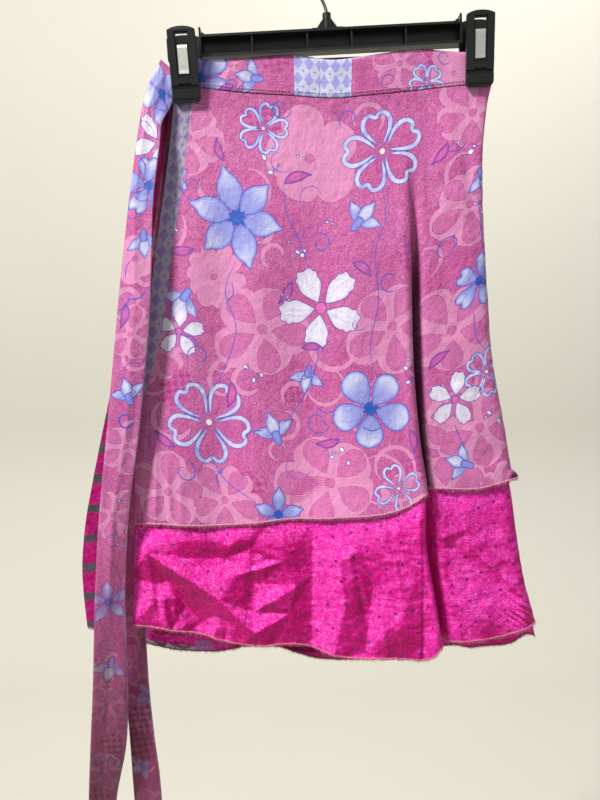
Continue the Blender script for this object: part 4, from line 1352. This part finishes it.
# ---- waistband pieces, each a folded strip -----------------------------------------------------------------------------
def band_piece(name, at0, at1, side, paint, mat, node, swell=0.35, shift=(0.0, 0.0)):
    x0, x1 = look_up(WAIST, "at", np.array([at0, at1]), "x")
    x0, x1 = x0 + 0.03, x1 - 0.03
    n = max(6, int((x1 - x0) / (1.4 * Q)))
    xs = np.linspace(x0, x1, n + 1)
    xs = np.concatenate([xs[:1], [x0 + 0.08], xs[1:-1], [x1 - 0.08], xs[-1:]])
    at = look_up(WAIST, "x", xs, "at")
    low = look_up(WAIST, "x", xs, "seamZ") + 0.15
    top = look_up(WAIST, "x", xs, "bandTopZ") if side < 0 else lerp(-111.2, -97.5, at) - 3.6
    m = max(10, int(26 / Q))
    f = (1 - np.cos(np.linspace(0, math.pi, m))) / 2
    f = 0.7 * np.linspace(0, 1, m) + 0.3 * f
    puff = lambda f: np.clip(np.minimum(f, 1 - f) * 9, 0, 1) ** 0.5
    V, S, H = [], [], []
    for half in (1, -1):                                   # the outer face going up, then the inner face going down
        for q in (f if half > 0 else f[::-1][1:-1]):
            height = top - low
            z = low + q * height
            th = (BAND_WALL / 2) * (0.25 + 0.75 * puff(q))
            wave = (0.28 * np.sin(xs / 4.7 + 1.3 * np.sin(xs / 19)) * smooth(0.0, 0.25, q) * smooth(1.0, 0.7, q) + 0.35 * noise2(xs, z, 16, 81)) * (half > 0)
            y = side * (WAIST_Y + half * (th + 0.06 * puff(q) * swell + np.maximum(wave, -0.5) * puff(q)))
            part = 0.16 * smooth(0.45, 0.30, q) * smooth(0.06, 0.12, q)      # the join gapes a little low down
            xq = xs.copy()
            xq[:2], xq[-2:] = xs[:2] + part, xs[-2:] - part
            V.append(np.stack([xq, y, z], 1))
            S.append(xs + shift[0] + (0 if half > 0 else 400))
            H.append(height * (1 - q) + shift[1] + 0 * xs)
    V, S, H = np.stack(V, 1), np.stack(S, 1), np.stack(H, 1)
    R, C = V.shape[:2]
    faces = grid_faces(R, C, flip=side > 0, wrap=True)
    ring = np.arange(C)[None]
    caps = [ring if side < 0 else ring[:, ::-1], ((R - 1) * C + ring)[:, ::-1] if side < 0 else (R - 1) * C + ring]
    pr = Print(S, H)
    paint(pr)
    ob = add_object(name, V.reshape(-1, 3), [faces] + caps, print_attrs(pr, H))
    ob.data.materials.append(mat)
    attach(ob, "root")
    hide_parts(node)
    return ob


def paint_left(pr):
    pr.bloom(-120, 18, 26, 30, 5, "round", 0.76)
    pr.bell(-66, 20, 22, 195)
    pr.tonal_flower(-92, 6, 24, 10, 5)
    pr.checks(-50, 8, 12, 0.7, 0.4)
    pr.tendril(curl(-90, 24, 8, 0, 1.0, -5), 0.7)
    pr.leaf(-104, 30, 18, -30)
    pr.pebbles([(-78, 28, 1.8), (-72, 31, 1.5)])


def paint_right(pr):
    pr.tonal_flower(70, 12, 26, 60, 5)
    pr.tonal_flower(122, 20, 24, 15, 5, solid=True)
    pr.checks(142, 22, 13, 0.7, 0.2)
    pr.checks(96, 8, 10, 0.8, 1.0)
    pr.outline_flower(96, 30, 14, 20, w=1.4)
    pr.tendril(curl(60, 26, 8, 100, 1.0, -5), 0.6, VIOLET, "two")
    pr.tendril(curl(112, 6, 7, 10, 1.0, -4), 0.6, VIOLET, "two")


def paint_back(pr):
    other_layout(pr, 620, (-160, 165), (-10, 40), 60)


mat_band = print_material("print_band")
mat_patch = harlequin_material("patch_harlequin")
bands = [band_piece("band_left", 0.0, BAND_SEAMS["left"], -1, paint_left, mat_band, "band_front_left"),
         band_piece("patch_left", BAND_SEAMS["left"], BAND_SEAMS["middle"], -1, lambda p: None, mat_patch, "band_patch_left", shift=(0.4, -6.6)),
         band_piece("patch_right", BAND_SEAMS["middle"], BAND_SEAMS["right"], -1, lambda p: None, mat_patch, "band_patch_right", shift=(-3.4, -6.2)),
         band_piece("band_right", BAND_SEAMS["right"], 1.0, -1, paint_right, mat_band, "band_front_right"),
         band_piece("band_back_strip", 0.0, 1.0, 1, paint_back, mat_band, "band_back")]


# ---- ties --------------------------------------------------------------------------------------------------------------
def tie(name, rows, paint, mat, node, seed):
    rows = dict(rows)
    rows["k"] = np.arange(len(rows["y"]), dtype=float)
    u = np.linspace(0, len(rows["y"]) - 1, 900)
    g = {c: look_up(rows, "k", u, c) for c in TIE_COLUMNS.split()}
    mid = np.stack([(g["lx"] + g["rx"]) / 2, g["y"], (g["lz"] + g["rz"]) / 2], 1)
    seg = np.concatenate([[0], np.cumsum(np.linalg.norm(np.diff(mid, axis=0), axis=1))])
    run = np.linspace(0, seg[-1], int(seg[-1] / (1.5 * Q)))
    g = {c: np.interp(run, seg, g[c]) for c in g}
    L = np.stack([g["lx"], g["y"] + g["turn"], g["lz"]], 1)
    R = np.stack([g["rx"], g["y"] - g["turn"], g["rz"]], 1)
    width = np.linalg.norm(R - L, axis=1)
    m = max(10, int(27 / Q))
    f = np.linspace(0, 1, m)[None, :]
    c = g["crease"][:, None]
    tent = np.minimum(f / c, (1 - f) / (1 - c))
    tent = np.clip(tent, 0, 1) ** 2.0
    P = L[:, None] * (1 - f)[..., None] + R[:, None] * f[..., None]
    P[..., 1] += g["creaseY"][:, None] * tent
    across = f * width[:, None]
    runs = run[:, None] + 0 * f
    body = np.clip(np.minimum(f, 1 - f) * 7, 0, 1)
    P[..., 1] += body * (0.55 * noise2(across * 1.6, runs * 0.35, 15, seed) + 0.3 * noise2(across + runs * 0.4, runs - across, 9, seed + 5)
                         + 0.35 * np.sin(runs / 31 + f * 3))
    a, b = np.gradient(P, axis=1), np.gradient(P, axis=0)
    n = np.cross(a, b)
    n /= np.linalg.norm(n, axis=2, keepdims=True)
    n = np.where(n[..., 1:2] > 0, -n, n)
    th = (TIE_WALL / 2) * (0.12 + 0.88 * np.clip(np.minimum(f, 1 - f) * 12, 0, 1) ** 0.5)
    front, rear = P + n * th[..., None], P - n * th[..., None]
    V = np.concatenate([front, rear[:, ::-1][:, 1:-1]], 1)
    A = np.concatenate([across, (across + 60)[:, ::-1][:, 1:-1]], 1)
    E = np.minimum(across, width[:, None] - across)
    T_ = np.concatenate([runs, runs[:, ::-1][:, 1:-1]], 1)
    rows_n, C = V.shape[:2]
    ring = np.arange(C)[None]
    pr = Print(A, T_)
    paint(pr)
    kinds = (pr.bloom, pr.tonal_flower, pr.bell, pr.tonal_flower, pr.striped, pr.tonal_flower)
    for k, y in enumerate(range(34, 900, 62)):             # the other face
        kinds[(k + seed) % 6](76 + 5 * math.sin(2.1 * k), y + 6 * math.sin(3.7 * k), 21 + 3 * math.sin(1.3 * k), 53.0 * k)
    scatter(pr, seed + 70, (62, 94), (10, 880), 26)
    ob = add_object(name, V.reshape(-1, 3), [grid_faces(rows_n, C, flip=True, wrap=True), ring, ((rows_n - 1) * C + ring)[:, ::-1]],
                    print_attrs(pr, np.concatenate([E, E[:, ::-1][:, 1:-1]], 1)))
    ob.data.materials.append(mat)
    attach(ob, "root")
    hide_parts(node)
    AREAS[name] = 2 * area_of(P)
    return ob, P, n, run


def paint_outer(pr):
    pr.bloom(18, 30, 26, 70, 5, "round", 0.8)
    pr.striped(24, 78, 24, 10)
    pr.bloom(20, 122, 26, 190, 5, "heart", 0.75)
    pr.tonal_flower(14, 190, 24, 30, 5, solid=True)
    pr.bell(20, 168, 22, 80)
    pr.tonal_flower(16, 262, 26, 60, 5)
    pr.leaf(8, 232, 24, 80)
    pr.bell(20, 325, 22, 250)
    pr.tonal_flower(20, 372, 26, 0, 5)
    pr.tendril(curl(18, 345, 9, 0, 1.1, -6), 0.9)
    pr.tonal_flower(14, 440, 25, 20, 5)
    pr.tendril(curl(16, 466, 8, 60, 1.1, -5), 0.7, VIOLET, "two")
    pr.tendril([(6, 480), (20, 496), (26, 520)], 0.7, VIOLET, "two")
    pr.bloom(14, 532, 22, 120, 5, "point", 0.6)
    pr.checks(24, 694, 15, 0.8, 0.4)
    pr.checks(10, 766, 20, 1.0, 0.4)
    pr.tonal_flower(8, 612, 17, 50, 5)
    pr.tonal_flower(26, 690, 16, 35, 5)
    pr.bell(18, 600, 24, 100)
    pr.tonal_flower(16, 650, 24, 10, 5)
    pr.outline_flower(18, 728, 18, 10, w=1.6)
    scatter(pr, 811, (4, 32), (20, 880), 34)


def paint_inner(pr):
    for k, y in enumerate(range(40, 860, 110)):
        if y < 500 or y > 660:
            pr.bell(16, y, 22, 90 + 70 * k)
        pr.tonal_flower(16, y + 52, 24, 30 * k, 5)
    pr.tonal_flower(12, 585, 22, 30, 5)
    pr.bloom(27, 622, 17, 15, 5, "point", 0.6)
    for y in (548, 600, 655, 700, 760, 810):
        pr.band_curl(curl(14, y, 11, 3.1 * y, 0.6, -3, 9), 2.2)
    pr.checks(18, 664, 26, 1.5, 0.4)
    scatter(pr, 821, (4, 32), (20, 860), 30)


mat_tie = print_material("print_tie", shade=0.96, fade=(470.0, 740.0, -0.55), rim=True)
mat_plum = print_material("print_tie_plum", shade=1.16, ground=lin(150, 66, 114), deep=lin(152, 80, 124), fade=(560.0, 800.0, -0.42), hidden=(530.0, 625.0), dye=(0.26, lin(116, 34, 76)))
tie_a, TP_a, TN_a, run_a = tie("tie_front", TIE_1, paint_outer, mat_tie, "tie_outer", 31)
tie_b, TP_b, TN_b, run_b = tie("tie_behind", TIE_2, paint_inner, mat_plum, "tie_inner", 47)


# ---- stitches ------------------------------------------------------------------------------------------------------------
def stitches(name, path, normals, pitch, long_, half, mat, lift=0.25):
    seg = np.concatenate([[0], np.cumsum(np.linalg.norm(np.diff(path, axis=0), axis=1))])
    at = lambda a, s: np.array([np.interp(s, seg, a[:, k]) for k in range(3)])
    verts, faces, run = [], [], []
    r = np.random.default_rng(len(name))
    s = pitch * 0.6
    while s < seg[-1] - pitch:
        ln = long_ * r.uniform(0.88, 1.08)
        p0, p1, n = at(path, s), at(path, s + ln), at(normals, s)
        d = (p1 - p0) / max(1e-6, np.linalg.norm(p1 - p0))
        n = n / np.linalg.norm(n)
        w = np.cross(d, n)
        base = len(verts)
        for f in np.linspace(0, 1, 6):
            k = math.sqrt(max(0.03, 1 - (2 * f - 1) ** 4))
            c = p0 + (p1 - p0) * f + n * (lift * (2 * k - 1))
            for q in range(6):
                a = TAU * q / 6
                verts.append(c + (w * math.cos(a) + n * math.sin(a)) * half * k)
                run.append(s + f * ln)
        for i in range(5):
            for q in range(6):
                faces.append((base + i * 6 + q, base + i * 6 + (q + 1) % 6, base + (i + 1) * 6 + (q + 1) % 6, base + (i + 1) * 6 + q))
        s += pitch
    ob = add_object(name, np.array(verts), np.array(faces), {"run": np.array(run)})
    ob.data.materials.append(mat)
    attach(ob, "root")
    return ob


mat_stitch = thread_material("stitch_rose", lin(240, 186, 220), lin(214, 140, 190), 3.2, gaps=False)
mat_stitch_grey = thread_material("stitch_grey", lin(214, 214, 228), lin(186, 186, 206), 3.2, gaps=False)


def band_path(at0, at1, side, up):
    x0, x1 = look_up(WAIST, "at", np.array([at0, at1]), "x")
    xs = np.linspace(x0 + 1, x1 - 1, 120)
    z = look_up(WAIST, "x", xs, "seamZ") + up
    return np.stack([xs, np.full_like(xs, side * (WAIST_Y + BAND_WALL / 2 + 0.25)), z], 1), np.tile([0.0, side, 0.0], (120, 1))


for label, a, b, side, mat in (("left", 0.0, BAND_SEAMS["left"], -1, mat_stitch), ("patch", BAND_SEAMS["left"], BAND_SEAMS["right"], -1, mat_stitch_grey),
                               ("right", BAND_SEAMS["right"], 1.0, -1, mat_stitch), ("back", 0.0, 1.0, 1, mat_stitch)):
    stitches("topstitch_" + label, *band_path(a, b, side, 4.2), 3.2, 2.5, 0.32, mat, 0.14)

j = int(np.argmin(abs(fu.edge[-1] - 9.5)))
edge_row = stitches("edge_stitch", P_fu[2:-4, j], fu.N[2:-4, j], 3.4, 2.5, 0.16, mat_stitch, 0.10)


# ---- the hanger keeps its own solids ------------------------------------------------------------------------------------
mat_black = plastic_material("black_plastic_moulded")
mat_spring = steel_material("spring_bright", lin(244, 244, 236), lin(206, 206, 198), 0.42)
mat_hook = steel_material("hook_wire_steel", lin(168, 164, 154), lin(86, 82, 78), 0.3)
for node, mat, width in (("hanger_bar", mat_black, 0.45), ("clip_left_lever", mat_black, 0.4), ("clip_right_lever", mat_black, 0.4),
                         ("clip_left_spring", mat_spring, 0), ("clip_right_spring", mat_spring, 0), ("hanger_hook", mat_hook, 0)):
    ob = bpy.data.objects[node]
    ob.data.materials.clear()
    ob.data.materials.append(mat)
    if width:
        bev = ob.modifiers.new("soft_edges", "BEVEL")
        bev.width, bev.segments, bev.limit_method, bev.angle_limit = width * 0.001, 2, "ANGLE", math.radians(35)

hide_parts("front_upper_layer")
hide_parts("front_under_layer")
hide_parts("back_upper_layer")
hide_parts("back_under_layer")


# ---- floor, backdrop, light, camera --------------------------------------------------------------------------------------
def sweep():
    pts = [(-2.0, -1.6), (1.4, -1.6)]
    pts += [(1.4 + 0.8 * math.sin(a), -0.8 - 0.8 * math.cos(a)) for a in np.linspace(0, math.pi / 2, 14)[1:]] + [(2.2, 2.2)]
    V = [(x, y * 1000, z * 1000) for y, z in pts for x in (-3500.0, 3500.0)]
    n = len(pts)
    F = [(2 * i, 2 * i + 1, 2 * i + 3, 2 * i + 2) for i in range(n - 1)]
    ob = add_object("studio_sweep", np.array(V, float), np.array(F))
    T = Tree("studio_paper")
    tex = T.nt.nodes.new("ShaderNodeTexCoord")
    n1 = T.noise(tex.outputs["Object"], 3.0, 3.0)
    ob.data.materials.append(T.finish(T.mix(n1, lin(193, 190, 179), lin(198, 194, 183)), 0.85, spec=0.2))


sweep()


def lamp(name, place, aim, size, power, colour=(1, 1, 1)):
    data = bpy.data.lights.new(name, "AREA")
    data.size, data.energy, data.color = size, power, colour
    ob = bpy.data.objects.new(name, data)
    bpy.context.scene.collection.objects.link(ob)
    ob.location = place
    from mathutils import Vector
    ob.rotation_euler = (Vector(aim) - Vector(place)).to_track_quat("-Z", "Y").to_euler()


aim = (-0.02, 0.0, -0.42)
az, el, far = math.radians(52), math.radians(48), 5.0
lamp("key", (aim[0] - far * math.sin(az) * math.cos(el), -far * math.cos(az) * math.cos(el), aim[2] + far * math.sin(el)), aim, 0.78, 415, (1.0, 0.985, 0.965))
lamp("fill", (0.1, -2.6, 0.3), aim, 2.2, 7, (0.97, 0.985, 1.0))
lamp("wall_wash", (0.95, 0.75, 1.5), (1.05, 2.2, -0.9), 2.4, 45)
world = bpy.data.worlds.new("pale_room")
bpy.context.scene.world = world
world.use_nodes = True
world.node_tree.nodes["Background"].inputs[0].default_value = (0.93, 0.93, 0.92, 1)
world.node_tree.nodes["Background"].inputs[1].default_value = 0.17

cam = bpy.data.cameras.new("camera")
cam.lens, cam.sensor_width, cam.clip_start = 28.8, 36, 0.01
cam_ob = bpy.data.objects.new("camera", cam)
bpy.context.scene.collection.objects.link(cam_ob)
cam_ob.location = (-0.0252, -0.646, -0.366)
cam_ob.rotation_euler = (math.radians(83.55), 0, 0)
bpy.context.scene.camera = cam_ob
bpy.context.scene.view_settings.view_transform = "Standard"

bpy.context.view_layer.update()
